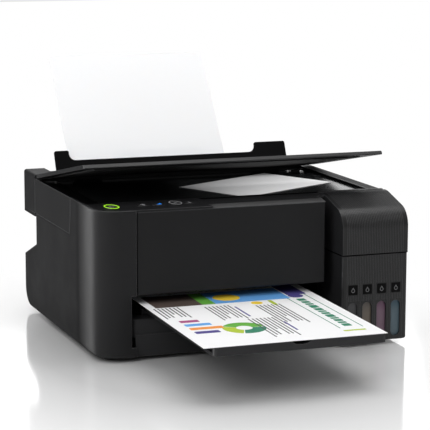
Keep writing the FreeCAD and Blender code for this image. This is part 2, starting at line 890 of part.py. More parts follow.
def control_panel():
    """The strip of buttons along the front, stepping down to a finger ledge before the glass."""
    made = body("control_strip")
    left = LEFT + S.wall + S.seam
    front = FRONT + S.wall + S.seam
    inner = TANK_LEFT - S.seam
    back = PANEL + S.panel_return
    corners = [
        (left, front),
        (PANEL_RIGHT, front),
        (PANEL_RIGHT, back),
        (inner, back),
        (inner, STRIP),
        (left, STRIP),
    ]
    solid = pad(made, outline(made, "XY_Plane", corners, PANEL_TOP), S.strip_thick)
    fillet(made, solid, S.corner_radius - S.wall - S.seam, {"x": left, "y": front})
    ledge = body("finger_ledge")
    corners = [
        (LEDGE_LEFT, STRIP + PAST),
        (LEDGE_LEFT + S.ledge_skew, -S.ledge_front),
        (inner + PAST, -S.ledge_front),
        (inner + PAST, STRIP + PAST),
    ]
    pad(ledge, outline(ledge, "XY_Plane", corners, TOP - S.ledge_drop), S.ledge_drop + PAST)
    lip = body("panel_lip")
    corners = [
        (front - PAST, TOP - S.lip_fall),
        (front, TOP - S.lip_fall),
        (front + S.lip_run, TOP),
        (front + S.lip_run, TOP + PAST),
        (front - PAST, TOP + PAST),
    ]
    pad(lip, outline(lip, "YZ_Plane", corners, LEDGE_LEFT), PANEL_RIGHT - LEDGE_LEFT + PAST)
    span = (PANEL_TOP - PAST, TOP + PAST)
    holes = []
    for name, x, y, radius in button_places():
        holes.append(rod(f"{name}_hole", "z", span, radius + S.key_gap, x=x, y=y))
        crown = rod(f"{name}_crown", "z", (PANEL_TOP - S.key_gap, TOP + S.key_proud), radius, x=x, y=y)
        low = PANEL_TOP - S.key_gap - S.key_flange
        rim = rod(f"{name}_rim", "z", (low, PANEL_TOP - S.key_gap), radius + S.key_flange, x=x, y=y)
        dome = doc.addObject("Part::Chamfer", f"{name}_dome")
        dome.Base = join(f"{name}_key", crown, rim)
        doc.recompute()
        rounded = S.key_proud.value / 2
        rims = edges_at(dome.Base.Shape, {"z": TOP + S.key_proud})
        dome.Edges = [(int(edge[4:]), rounded, rounded) for edge in rims]
        piece(dome, f"{name}_button")
    piece(cut("control", made, ledge, lip, *holes), "control_panel")


def tank_centres():
    """The four tanks in their order from the left, with the middle of each."""
    names = ("black", "yellow", "magenta", "cyan")
    return [(name, TANK_MIDDLE + S.tank_pitch * (n - 1.5)) for n, name in enumerate(names)]


COVER_HINGE_Y = STRIP - S.wall * 2 - S.seam * 2 - S.cover_nose
COVER_HINGE_Z = TOP - S.cover_nose


def tank_housing():
    """The lower shell round the ink tanks, with the windows and the posts of the cover's hinge."""
    made = body("tank_case")
    corners = [
        (TANK_LEFT, TANK_FRONT),
        (RIGHT, TANK_FRONT),
        (RIGHT, STRIP),
        (TANK_LEFT, STRIP),
    ]
    solid = pad(made, outline(made, "XY_Plane", corners, UNDER), S.tank_seam - UNDER)
    solid = fillet(made, solid, S.tank_edge, {"x": TANK_LEFT, "y": TANK_FRONT})
    solid = fillet(made, solid, S.tank_corner, {"x": RIGHT, "y": TANK_FRONT})
    solid = fillet(made, solid, S.tank_edge, {"y": TANK_FRONT, "z": UNDER})
    shell(made, solid, S.wall, {"z": S.tank_seam})
    back = (STRIP - S.wall * 2, STRIP)
    wall = block("tank_back", (TANK_LEFT, RIGHT), back, (S.tank_seam - S.wall * 2, TOP))
    parts = [made, wall]
    skin = S.cover_skin + S.seam
    half = S.cover_pin + S.seam / 2
    arm_z = COVER_HINGE_Z - S.cover_nose * 4
    ends = ((TANK_LEFT, 1), (RIGHT, -1))
    for n, (side, way) in enumerate(ends):
        near = side + skin * way
        far = near + S.post_width * way
        tip = side + S.seam * way
        low, high = (near, far) if way > 0 else (far, near)
        y = (COVER_HINGE_Y - half, COVER_HINGE_Y + half / 2)
        parts.append(block(f"cover_post_{n}", (low, high), y, (arm_z, COVER_HINGE_Z)))
        parts.append(rod(f"cover_eye_{n}", "x", (low, high), half, y=COVER_HINGE_Y, z=COVER_HINGE_Z))
        arm_y = (COVER_HINGE_Y - half, back[0] + S.wall)
        parts.append(block(f"cover_arm_{n}", (low, high), arm_y, (arm_z - S.post_width, arm_z)))
        low, high = (tip, far) if way > 0 else (far, tip)
        parts.append(rod(f"cover_pin_{n}", "x", (low, high), S.cover_pin, y=COVER_HINGE_Y, z=COVER_HINGE_Z))
    radius = S.window_width / 2
    holes = []
    for name, x in tank_centres():
        y = (TANK_FRONT - PAST, TANK_FRONT + S.wall + S.seam / 2)
        low = S.window_low + radius
        high = S.window_high - radius
        holes.append(block(f"{name}_window", (x - radius, x + radius), y, (low, high)))
        holes.append(rod(f"{name}_window_foot", "y", y, radius, x=x, z=low))
        holes.append(rod(f"{name}_window_head", "y", y, radius, x=x, z=high))
    y = (back[0] + S.seam, STRIP + PAST)
    for n, x in enumerate(tube_places()):
        holes.append(rod(f"housing_tube_{n}", "y", y, S.tube_radius + S.seam, x=x, z=S.outlet_z))
    piece(cut("tank_shell", join("tank_solid", *parts), *holes), "tank_housing")


def tank_cover():
    """The cover over the filler caps: a steep front that curves back to the flat top."""
    made = body("cover_case")
    nose = COVER_HINGE_Y + S.cover_nose
    low = S.tank_seam + S.seam
    corners = [
        (TANK_FRONT, low),
        (TANK_FRONT, S.cover_brow),
        (-S.cover_crest, TOP),
        (nose, TOP),
        (nose, low),
    ]
    solid = pad(made, outline(made, "YZ_Plane", corners, TANK_LEFT), RIGHT - TANK_LEFT)
    solid = fillet(made, solid, S.cover_front_radius, {"y": TANK_FRONT, "z": S.cover_brow})
    solid = fillet(made, solid, S.cover_top_radius, {"y": -S.cover_crest, "z": TOP})
    solid = fillet(made, solid, S.cover_nose - S.seam / 20, {"y": nose, "z": TOP})
    shell(made, solid, S.cover_skin, {"z": low})
    span = (TANK_LEFT - PAST, RIGHT + PAST)
    open_y = (nose - S.cover_skin - S.seam, nose + PAST)
    open_back = block("cover_back", span, open_y, (low - PAST, COVER_HINGE_Z))
    bore = rod("cover_bore", "x", span, S.cover_pin + S.running_fit, y=COVER_HINGE_Y, z=COVER_HINGE_Z)
    piece(cut("cover", made, bore, open_back), "tank_cover")


TANK_FACE = TANK_FRONT + S.wall + S.seam * 2
TANK_FLOOR = UNDER + S.wall
CAP_HINGE_Y = TANK_FACE + S.cap_setback
CAP_HINGE_Z = S.tank_top + S.neck_height + S.cap_rise


def ink_tanks():
    """Four tanks with filler necks, the hinged caps on them, and the tubes from their outlets."""
    half = S.tank_width / 2
    rear = TANK_FACE + S.tank_depth
    neck_y = TANK_FACE + S.neck_setback
    neck_top = S.tank_top + S.neck_height
    for name, x in tank_centres():
        outer = block(f"{name}_vessel", (x - half, x + half), (TANK_FACE, rear), (TANK_FLOOR, S.tank_top))
        skin = S.tank_skin
        hollow = block(
            f"{name}_hollow",
            (x - half + skin, x + half - skin),
            (TANK_FACE + skin, rear - skin),
            (TANK_FLOOR + skin, S.tank_top - skin),
        )
        inside_top = S.tank_top - skin
        neck = rod(f"{name}_neck", "z", (inside_top, neck_top), S.neck_radius, x=x, y=neck_y)
        bore_span = (inside_top - skin, neck_top + PAST)
        bore = rod(f"{name}_bore", "z", bore_span, S.neck_bore, x=x, y=neck_y)
        spout_span = (rear - skin / 2, rear + S.outlet_radius)
        spout = rod(f"{name}_spout", "y", spout_span, S.outlet_radius, x=x, z=S.outlet_z)
        ears = []
        for n, way in enumerate((-1, 1)):
            near = x + (S.cap_half + S.seam) * way
            far = near + S.cap_knuckle * way
            low, high = (far, near) if way < 0 else (near, far)
            y = (CAP_HINGE_Y - S.cap_knuckle, CAP_HINGE_Y + S.cap_knuckle)
            ears.append(block(f"{name}_ear_{n}", (low, high), y, (inside_top, CAP_HINGE_Z)))
            eye = rod(f"{name}_eye_{n}", "x", (low, high), S.cap_knuckle, y=CAP_HINGE_Y, z=CAP_HINGE_Z)
            ears.append(eye)
        pin_bore = rod(
            f"{name}_pin_bore",
            "x",
            (x - half - PAST, x + half + PAST),
            S.cap_pin + S.running_fit,
            y=CAP_HINGE_Y,
            z=CAP_HINGE_Z,
        )
        solid = join(f"{name}_solid", outer, neck, spout, *ears)
        piece(cut(f"{name}_tank_shell", solid, hollow, bore, pin_bore), f"ink_tank_{name}")

        low = neck_top + S.sheet_gap
        disc = rod(f"{name}_disc", "z", (low, low + S.cap_thick), S.cap_radius, x=x, y=neck_y)
        arm_x = (x - S.cap_half + S.seam, x + S.cap_half - S.seam)
        arm_z = (low + S.cap_thick / 2, low + S.cap_thick * 1.5)
        arm = block(f"{name}_arm", arm_x, (neck_y - S.cap_tab, CAP_HINGE_Y), arm_z)
        knuckle_x = (x - S.cap_half, x + S.cap_half)
        knuckle = rod(f"{name}_knuckle", "x", knuckle_x, S.cap_knuckle, y=CAP_HINGE_Y, z=CAP_HINGE_Z)
        reach = S.cap_half + S.seam + S.cap_knuckle
        pin = rod(f"{name}_pin", "x", (x - reach, x + reach), S.cap_pin, y=CAP_HINGE_Y, z=CAP_HINGE_Z)
        piece(join(f"{name}_cap_solid", disc, arm, knuckle, pin), f"filler_cap_{name}")


def tube_places():
    """The middles of the four tubes, side by side where they leave the tank housing."""
    return [TUBE_X + S.tube_pitch * (n - 1.5) for n in range(4)]


def ink_tubes():
    """The gallery behind the tanks and the four tubes from it to a clip in the base pan."""
    start = TANK_FACE + S.tank_depth + S.outlet_radius
    end = STRIP + S.tube_reach
    half = S.tank_pitch * 1.5 + S.outlet_radius * 2
    height = (S.outlet_z - S.outlet_radius * 2, S.outlet_z + S.outlet_radius * 2)
    gallery_x = (TANK_MIDDLE - half, TANK_MIDDLE + half)
    gallery = block("tube_gallery", gallery_x, (start, start + S.gallery_depth), height)
    half = S.tube_pitch * 2
    clip_x = (TUBE_X - half, TUBE_X + half)
    clip = block("tube_clip", clip_x, (end - S.tube_pitch, end), (PAN_FLOOR, height[1]))
    tubes = [
        rod(f"tube_{n}", "y", (start + S.gallery_depth / 2, end), S.tube_radius, x=x, z=S.outlet_z)
        for n, x in enumerate(tube_places())
    ]
    piece(join("tube_run", gallery, clip, *tubes), "ink_tubes")


BED = TOP - S.bed_drop
SEAT = BED - S.glass_thick - S.sheet_thick
LID_HINGE_Z = TOP + S.lid_hinge_rise
LIFT_Z = TOP + S.lift_rise
CAVITY_FRONT = UNIT_FRONT + S.cavity_front
SEAT_FRONT = CAVITY_FRONT - S.glass_lap
SEAT_REAR = S.unit_rear - (TOP - SEAT) * tangent(S.lean_angle) - S.cavity_wall + S.glass_lap


def rear_slope(z):
    """The scanner unit's back, which leans with the paper behind it."""
    return S.unit_rear - (TOP - z) * tangent(S.lean_angle)


def scanner_unit():
    """The lifting scanner: a deep tray with the glass, the cover's hinge and its own pivots."""
    made = body("unit_case")
    tucked = UNIT_FRONT + S.unit_tuck
    corners = [(tucked, UPPER), (rear_slope(UPPER), UPPER), (S.unit_rear, TOP), (UNIT_FRONT, TOP)]
    pad(made, outline(made, "YZ_Plane", corners, LEFT), PAN_RIGHT - LEFT)
    cavity = body("unit_cavity")
    low = UPPER + S.wall
    corners = [
        (CAVITY_FRONT, low),
        (rear_slope(low) - S.cavity_wall, low),
        (rear_slope(SEAT) - S.cavity_wall, SEAT),
        (rear_slope(SEAT) - S.cavity_wall, TOP + PAST),
        (CAVITY_FRONT, TOP + PAST),
    ]
    pad(cavity, outline(cavity, "YZ_Plane", corners, GLASS_LEFT), GLASS_RIGHT - GLASS_LEFT)
    relief = body("unit_relief")
    flank = flank_edge(S.seam * 1.5)
    corners = [
        (UNIT_FRONT - PAST, UPPER - PAST),
        (flank[0], UPPER - PAST),
        (flank[0], UPPER),
        (flank[1], FLANK_MIDDLE),
        (flank[2], TOP),
        (flank[2], TOP + PAST),
        (UNIT_FRONT - PAST, TOP + PAST),
    ]
    pad(relief, outline(relief, "YZ_Plane", corners, LEFT - PAST), PAST + S.wall + S.seam)
    recess = block(
        "unit_recess",
        (LEFT + S.wall * 2 + S.seam, PAN_RIGHT - S.wall),
        (UNIT_FRONT + S.rim_front, S.unit_rear - S.rim_rear),
        (BED, TOP + PAST),
    )
    seat = block(
        "glass_seat",
        (GLASS_LEFT - S.glass_lap, GLASS_RIGHT + S.glass_lap),
        (SEAT_FRONT, SEAT_REAR),
        (SEAT, TOP + PAST),
    )
    cheek = body("unit_cheek")
    corners = [
        (rear_slope(UPPER) - S.wall, UPPER),
        (S.unit_rear, UPPER),
        (S.unit_rear, TOP),
        (S.unit_rear - S.wall, TOP),
    ]
    pad(cheek, outline(cheek, "YZ_Plane", corners, LEFT), S.wall)
    parts = [cut("unit_open", made, relief, recess, seat, cavity), cheek]
    eye_y = (S.lid_hinge_y - S.knuckle_radius, S.lid_hinge_y + S.knuckle_radius)
    eye_z = (TOP - S.wall, LID_HINGE_Z + S.hinge_pin)
    for side in (-1, 1):
        middle = KNUCKLE_X * side
        inner = S.knuckle_half + S.seam
        outer = inner + S.ear_width
        name = "left" if side < 0 else "right"
        pin_x = (middle - outer, middle + outer)
        parts.append(block(f"lid_ear_low_{name}", (middle - outer, middle - inner), eye_y, eye_z))
        parts.append(block(f"lid_ear_high_{name}", (middle + inner, middle + outer), eye_y, eye_z))
        parts.append(rod(f"lid_pin_{name}", "x", pin_x, S.hinge_pin, y=S.lid_hinge_y, z=LID_HINGE_Z))
        edge = (TOWER_INNER - S.seam) * side
        root = (TOWER_INNER - S.seam - S.ear_width) * side
        tip = (TOWER_INNER + S.wall) * side
        lug_x = (edge, root) if side < 0 else (root, edge)
        pivot_x = (tip, root) if side < 0 else (root, tip)
        parts.append(rod(f"lift_lug_{name}", "x", lug_x, S.lug_radius, y=S.lift_y, z=LIFT_Z))
        arm_y = (S.unit_rear - S.rim_rear / 2, S.lift_y)
        arm_z = (LIFT_Z - S.lug_radius, LIFT_Z + S.lug_radius / 2)
        parts.append(block(f"lift_arm_{name}", lug_x, arm_y, arm_z))
        parts.append(rod(f"lift_pin_{name}", "x", pivot_x, S.lift_pin, y=S.lift_y, z=LIFT_Z))
    piece(join("unit", *parts), "scanner_unit")

    clear = S.sheet_gap
    glass = block(
        "bed_glass",
        (GLASS_LEFT - S.glass_lap + clear, GLASS_RIGHT + S.glass_lap - clear),
        (SEAT_FRONT + clear, SEAT_REAR - clear),
        (SEAT, SEAT + S.glass_thick),
    )
    piece(glass, "scanner_glass")


def scan_carriage():
    """The image sensor bar that runs along its rail under the glass."""
    rail_x = (GLASS_LEFT, GLASS_RIGHT)
    rail = rod("bed_rail", "x", rail_x, S.scan_rail_radius, y=S.scan_rail_y, z=S.scan_rail_z)
    piece(rail, "scan_rail")
    start = GLASS_LEFT + S.wall
    bar_x = (start, start + S.scan_bar_width)
    top = SEAT - S.seam * 2
    bottom = top - S.scan_bar_height
    rear = rear_slope(bottom) - S.cavity_wall - S.seam * 4
    bar = block("sensor_bar", bar_x, (CAVITY_FRONT + S.seam * 4, rear), (bottom, top))
    grip = S.scan_rail_radius * 2
    saddle_y = (S.scan_rail_y - grip * 2, S.scan_rail_y + grip * 2)
    saddle = block("sensor_saddle", bar_x, saddle_y, (S.scan_rail_z - grip, bottom))
    bore_x = (start - PAST, start + S.scan_bar_width + PAST)
    radius = S.scan_rail_radius + S.running_fit
    bore = rod("sensor_bore", "x", bore_x, radius, y=S.scan_rail_y, z=S.scan_rail_z)
    piece(cut("sensor", join("sensor_solid", bar, saddle), bore), "scan_carriage")


def original_sheet():
    """A small original lying askew on the glass."""
    made = block("card", (0, S.card_length), (0, S.card_width), (0, S.sheet_thick))
    across = cosine(S.card_angle)
    along = sine(S.card_angle)
    x = CARD_X - S.card_length / 2 * across + S.card_width / 2 * along
    y = S.card_y - S.card_length / 2 * along - S.card_width / 2 * across
    place(made, x, y, BED + S.seam / 4, Vector(0, 0, 1), S.card_angle)
    piece(made, "original_sheet")


def document_lid():
    """The document cover and its mat, drawn shut about the hinge and then opened."""
    plate = body("lid_plate")
    low = TOP + S.seam - LID_HINGE_Z
    front = -S.lid_front - S.lid_hinge_y
    rear = -S.lid_gap
    corners = [(LEFT, front), (RIGHT, front), (RIGHT, rear), (LEFT, rear)]
    solid = pad(plate, outline(plate, "XY_Plane", corners, low), S.lid_thick)
    fillet(plate, solid, S.lid_corner, {"x": LEFT, "y": front}, {"x": RIGHT, "y": front})
    bevel = body("lid_bevel")
    top = low + S.lid_thick
    corners = [
        (front - PAST, low + S.lid_lip),
        (front, low + S.lid_lip),
        (front + S.lid_bevel, top),
        (front + S.lid_bevel, top + PAST),
        (front - PAST, top + PAST),
    ]
    pad(bevel, outline(bevel, "YZ_Plane", corners, LEFT - PAST), RIGHT - LEFT + PAST * 2)
    parts = [plate]
    bores = []
    for side in (-1, 1):
        name = "left" if side < 0 else "right"
        middle = KNUCKLE_X * side
        span = (middle - S.knuckle_half, middle + S.knuckle_half)
        parts.append(rod(f"lid_knuckle_{name}", "x", span, S.knuckle_radius))
        arm_z = (-S.knuckle_radius / 2, S.knuckle_radius)
        parts.append(block(f"lid_arm_{name}", span, (rear - S.lid_gap, 0), arm_z))
        bore_x = (span[0] - PAST, span[1] + PAST)
        bores.append(rod(f"lid_bore_{name}", "x", bore_x, S.hinge_pin + S.running_fit))
    mat_x = (LEFT + S.mat_inset, PAN_RIGHT - S.mat_margin)
    mat_y = (UNIT_FRONT + S.mat_front - S.lid_hinge_y, S.unit_rear - S.mat_rear - S.lid_hinge_y)
    mat_low = BED + S.mat_clear + S.sheet_thick - LID_HINGE_Z
    sunk_x = (mat_x[0] - S.seam, mat_x[1] + S.seam)
    sunk_y = (mat_y[0] - S.seam, mat_y[1] + S.seam)
    sunk = block("mat_pocket", sunk_x, sunk_y, (low - PAST, low + S.mat_sunk))
    lid = cut("lid", join("lid_solid", *parts), bevel, sunk, *bores)
    mat = block("lid_foam", mat_x, mat_y, (mat_low, low + S.mat_sunk))
    opened = Vector(1, 0, 0)
    piece(place(lid, 0, S.lid_hinge_y, LID_HINGE_Z, opened, -S.lid_angle), "document_lid")
    shift_y = mat_y[0] * cosine(S.lid_angle) + mat_low * sine(S.lid_angle)
    shift_z = mat_low * cosine(S.lid_angle) - mat_y[0] * sine(S.lid_angle)
    place(mat, mat_x[0], S.lid_hinge_y + shift_y, LID_HINGE_Z + shift_z, opened, -S.lid_angle)
    piece(mat, "lid_mat")


SUPPORT_BACK = S.sheet_thick + S.sheet_gap
CHUTE_FACE = SUPPORT_BACK + S.support_thick + S.sheet_gap


def rear_housing():
    """The upper back: two towers that hold the pivots, the deck and the leaning paper chute."""
    tower = body("left_tower")
    head = TOP + S.tower_rise
    sole = S.flank_bottom - S.tower_drop
    corners = [(LEFT, TOWER), (-TOWER_INNER, TOWER), (-TOWER_INNER, REAR), (LEFT, REAR)]
    solid = pad(tower, outline(tower, "XY_Plane", corners, sole), head - sole)
    solid = fillet(tower, solid, S.tower_corner, {"x": LEFT, "y": REAR})
    solid = fillet(tower, solid, S.tower_edge, {"x": LEFT, "z": head})
    shell(tower, solid, S.wall, {"z": sole})
    bay = (-TOWER_INNER, TOWER_INNER)
    right = block("right_tower", (TOWER_INNER, PAN_RIGHT), (TOWER, REAR), (UPPER, head))
    back = block("upper_back", bay, (REAR - S.wall, REAR), (UPPER, TOP))
    chute_y = S.sheet_foot_y + (TOP - S.sheet_foot_z) * tangent(S.lean_angle)
    deck_front = chute_y + (CHUTE_FACE + S.wall / 3) / cosine(S.lean_angle)
    deck = block("upper_deck", bay, (deck_front, REAR), (TOP - S.wall, TOP))
    plate_y = (CHUTE_FACE, CHUTE_FACE + S.wall)
    parts = [tower, right, back, deck]
    parts.append(leaning("chute_plate", bay, plate_y, (-S.wall, S.chute_length)))
    tab = S.guide_foot
    tab_y = (-S.guide_depth, CHUTE_FACE + S.wall)
    tab_z = (-S.wall, -S.sheet_gap)
    sheet_right = SHEET_RIGHT
    parts.append(leaning("chute_tab_left", (SHEET_LEFT, SHEET_LEFT + tab), tab_y, tab_z))
    parts.append(leaning("chute_tab_right", (sheet_right - tab, sheet_right), tab_y, tab_z))
    fence_x = (SHEET_LEFT - S.sheet_gap - S.wall, SHEET_LEFT - S.sheet_gap)
    fence_y = (-S.guide_depth, CHUTE_FACE + S.wall / 2)
    parts.append(leaning("chute_fence", fence_x, fence_y, (S.guide_low, S.guide_high)))
    span = (-TOWER_INNER - S.wall - PAST, TOWER_INNER + S.wall + PAST)
    guard_bore = S.guard_pin + S.running_fit
    lift_bore = S.lift_pin + S.running_fit
    bores = [
        rod("guard_bore", "x", span, guard_bore, y=S.guard_y, z=TOP + S.guard_rise),
        rod("lift_bore", "x", span, lift_bore, y=S.lift_y, z=LIFT_Z),
    ]
    groove_x = (LEFT - PAST, LEFT + S.seam)
    groove = block("tower_groove", groove_x, (TOWER - PAST, REAR + PAST), (S.flank_bottom, UPPER))
    piece(cut("rear_upper", join("rear_solid", *parts), groove, *bores), "rear_housing")


def feeder_parts():
    """The swinging guard, the rising paper support, the sliding edge guide and the loaded sheet."""
    guard = body("guard_plate")
    half = GUARD_HALF
    left = -half + S.guard_left_horn
    right = half - S.guard_right_horn
    foot = -S.guard_pin
    corners = [
        (-half, foot),
        (half, foot),
        (half, S.guard_horn),
        (right, S.guard_horn),
        (right, S.guard_strip),
        (left, S.guard_strip),
        (left, S.guard_horn),
        (-half, S.guard_horn),
    ]
    solid = pad(guard, outline(guard, "XZ_Plane", corners, -S.guard_thick / 2), S.guard_thick)
    solid = fillet(guard, solid, S.guard_left_radius, {"x": left, "z": S.guard_strip})
    solid = fillet(guard, solid, S.guard_right_radius, {"x": right, "z": S.guard_strip})
    tips = [{"x": x, "z": S.guard_horn} for x in (-half, left, right, half)]
    fillet(guard, solid, S.guard_thick, *tips)
    pin_tip = TOWER_INNER + S.wall
    pins = [
        rod("guard_pin_left", "x", (-pin_tip, -half + S.wall), S.guard_pin),
        rod("guard_pin_right", "x", (half - S.wall, pin_tip), S.guard_pin),
    ]
    made = join("guard", guard, *pins)
    place(made, 0, S.guard_y, TOP + S.guard_rise, Vector(1, 0, 0), -S.guard_angle)
    piece(made, "feeder_guard")

    support_x = (SUPPORT_LEFT, SUPPORT_RIGHT)
    support_y = (SUPPORT_BACK, SUPPORT_BACK + S.support_thick)
    support_z = (S.support_low, S.support_low + S.support_length)
    piece(leaning("support_plate", support_x, support_y, support_z), "paper_support")

    near = SHEET_RIGHT + S.sheet_gap
    wall = leaning(
        "edge_wall",
        (near, near + S.wall),
        (-S.guide_depth, CHUTE_FACE - S.sheet_gap),
        (S.guide_low, S.guide_high),
    )
    shoe = leaning(
        "edge_shoe",
        (near, near + S.guide_foot),
        (SUPPORT_BACK, CHUTE_FACE - S.sheet_gap),
        (S.guide_low, S.guide_low + S.guide_foot * 2),
    )
    piece(join("edge", wall, shoe), "edge_guide")

    sheet_x = (SHEET_LEFT, SHEET_RIGHT)
    piece(leaning("loaded", sheet_x, (0, S.sheet_thick), (0, S.sheet_length)), "blank_sheet")


def output_tray():
    """The pull-out tray with its upturned lip, and the printed page that lies on it."""
    made = body("tray_plate")
    front = -S.tray_reach
    rear = front + S.tray_length
    corners = [
        (TRAY_LEFT, front),
        (TRAY_RIGHT, front),
        (TRAY_RIGHT, rear),
        (TRAY_LEFT, rear),
    ]
    solid = pad(made, outline(made, "XY_Plane", corners, S.tray_bottom), S.tray_thick)
    corner_edges = ({"x": TRAY_LEFT, "y": front}, {"x": TRAY_RIGHT, "y": front})
    fillet(made, solid, S.tray_corner / 2, *corner_edges)
    lip = body("tray_lip_bar")
    lip_rear = front + S.tray_lip_depth
    corners = [
        (TRAY_LEFT, front),
        (TRAY_RIGHT, front),
        (TRAY_RIGHT, lip_rear),
        (TRAY_LEFT, lip_rear),
    ]
    solid = pad(lip, outline(lip, "XY_Plane", corners, S.tray_bottom), S.tray_lip)
    fillet(lip, solid, S.tray_corner / 2, *corner_edges)
    middle = (TRAY_LEFT + TRAY_RIGHT) / 2
    scoop = rod("tray_scoop", "y", (front - PAST, lip_rear + PAST), S.tray_corner * 2, x=middle,
                z=S.tray_bottom + S.tray_lip + S.tray_corner * 1.6)
    piece(cut("tray", join("tray_solid", made, lip), scoop), "output_tray")

    page_x = (SHEET_LEFT, SHEET_RIGHT)
    page = block("page", page_x, (0, S.sheet_length), (0, S.sheet_thick))
    level = S.tray_bottom + S.tray_lip + S.sheet_gap
    place(page, SHEET_LEFT, front, level, Vector(1, 0, 0), S.page_angle)
    piece(page, "printed_page")


FEED_TO_IDLER = S.gear_module * (S.feed_teeth + S.idler_teeth) / 2
IDLER_TO_EXIT = S.gear_module * (S.idler_teeth + S.exit_teeth) / 2
IDLER_Y = S.feed_y - FEED_TO_IDLER
EXIT_Y = IDLER_Y - IDLER_TO_EXIT
PINION_TURN = -1080 / S.feed_teeth
PINION_REACH = S.gear_module * (S.feed_teeth + S.pinion_teeth) / 2
PINION_Y = S.feed_y + PINION_REACH * cosine(PINION_TURN)
PINION_Z = S.roller_z + PINION_REACH * sine(PINION_TURN)
PLATE_LEFT = -FRAME_HALF + S.frame_sheet
PLATE_RIGHT = FRAME_HALF - S.frame_sheet
GEAR_LEFT = PLATE_LEFT + S.wall
GEAR_RIGHT = GEAR_LEFT + S.gear_width
PICKUP_OFF = S.pickup_radius + S.sheet_gap
PICKUP_Y = S.sheet_foot_y + S.pickup_rise * sine(S.lean_angle) - PICKUP_OFF * cosine(S.lean_angle)
PICKUP_Z = S.sheet_foot_z + S.pickup_rise * cosine(S.lean_angle) + PICKUP_OFF * sine(S.lean_angle)


def gear(name, teeth, bore, y, z, phase):
    """A spur gear across the left frame plate; phase turns its first tooth from +Y."""
    made = body(name)
    module = S.gear_module
    pitch = module * teeth / 2
    root = pitch - module * 1.15
    disc = pad(made, circles(made, "YZ_Plane", (root, bore), GEAR_LEFT), S.gear_width)
    tip = pitch + module * 0.85
    foot_half = module * 0.95
    tip_half = module * 0.36
    corners = [
        (root - module * 0.4, -foot_half),
        (tip, -tip_half),
        (tip, tip_half),
        (root - module * 0.4, foot_half),
    ]
    drawn = outline(made, "YZ_Plane", corners, GEAR_LEFT)
    tooth = pad(made, drawn, S.gear_width)
    ring = made.newObject("PartDesign::PolarPattern", name + "_teeth")
    ring.Originals = [tooth]
    ring.Axis = (drawn, ["N_Axis"])
    ring.Angle = 360
    bind(ring, "Occurrences", teeth)
    made.Tip = ring
    doc.recompute()
    return place(made, 0, y, z, Vector(1, 0, 0), phase)


def roller_train():
    """Feed and exit rollers with their gears, the idler between them and the motor's pinion."""
    half_pitch = 180.0
    tip = FRAME_HALF + S.wall / 2
    feed_gear = gear("feed_wheel", S.feed_teeth, S.shaft_radius, S.feed_y, S.roller_z, as_size(0))
    idler_phase = (S.feed_teeth + 1) * half_pitch / S.idler_teeth
    idler_bore = S.shaft_radius + S.running_fit
    idler = gear("idler_wheel", S.idler_teeth, idler_bore, IDLER_Y, S.roller_z, idler_phase)
    exit_phase = (S.idler_teeth + S.feed_teeth) * half_pitch / S.exit_teeth
    exit_gear = gear("exit_wheel", S.exit_teeth, S.shaft_radius, EXIT_Y, S.roller_z, exit_phase)
    pinion_phase = PINION_TURN + half_pitch - half_pitch / S.pinion_teeth
    pinion_bore = S.motor_shaft + S.running_fit
    pinion = gear("pinion_wheel", S.pinion_teeth, pinion_bore, PINION_Y, PINION_Z, pinion_phase)
    piece(idler, "idler_gear")
    piece(pinion, "motor_pinion")

    ends = (-tip, tip)
    grip = (PLATEN_LEFT + S.wall, PLATEN_RIGHT - S.wall)
    feed_shaft = rod("feed_shaft", "x", ends, S.shaft_radius, y=S.feed_y, z=S.roller_z)
    feed_grip = rod("feed_grip", "x", grip, S.feed_radius, y=S.feed_y, z=S.roller_z)
    piece(join("feed", feed_shaft, feed_grip, feed_gear), "feed_roller")
    exit_shaft = rod("exit_shaft", "x", ends, S.shaft_radius, y=EXIT_Y, z=S.roller_z)
    tyres = []
    count = 6
    step = (grip[1] - grip[0]) / count
    for n in range(count):
        middle = grip[0] + step * (n + 0.5)
        tyre_x = (middle - step / 5, middle + step / 5)
        tyres.append(rod(f"exit_tyre_{n}", "x", tyre_x, S.feed_radius, y=EXIT_Y, z=S.roller_z))
    piece(join("exit", exit_shaft, exit_gear, *tyres), "exit_roller")
    pickup_shaft = rod("pickup_shaft", "x", ends, S.shaft_radius, y=PICKUP_Y, z=PICKUP_Z)
    tyre_x = (PICKUP_X - S.pickup_half, PICKUP_X + S.pickup_half)
    pickup_tyre = rod("pickup_tyre", "x", tyre_x, S.pickup_radius, y=PICKUP_Y, z=PICKUP_Z)
    piece(join("pickup", pickup_shaft, pickup_tyre), "pickup_roller")


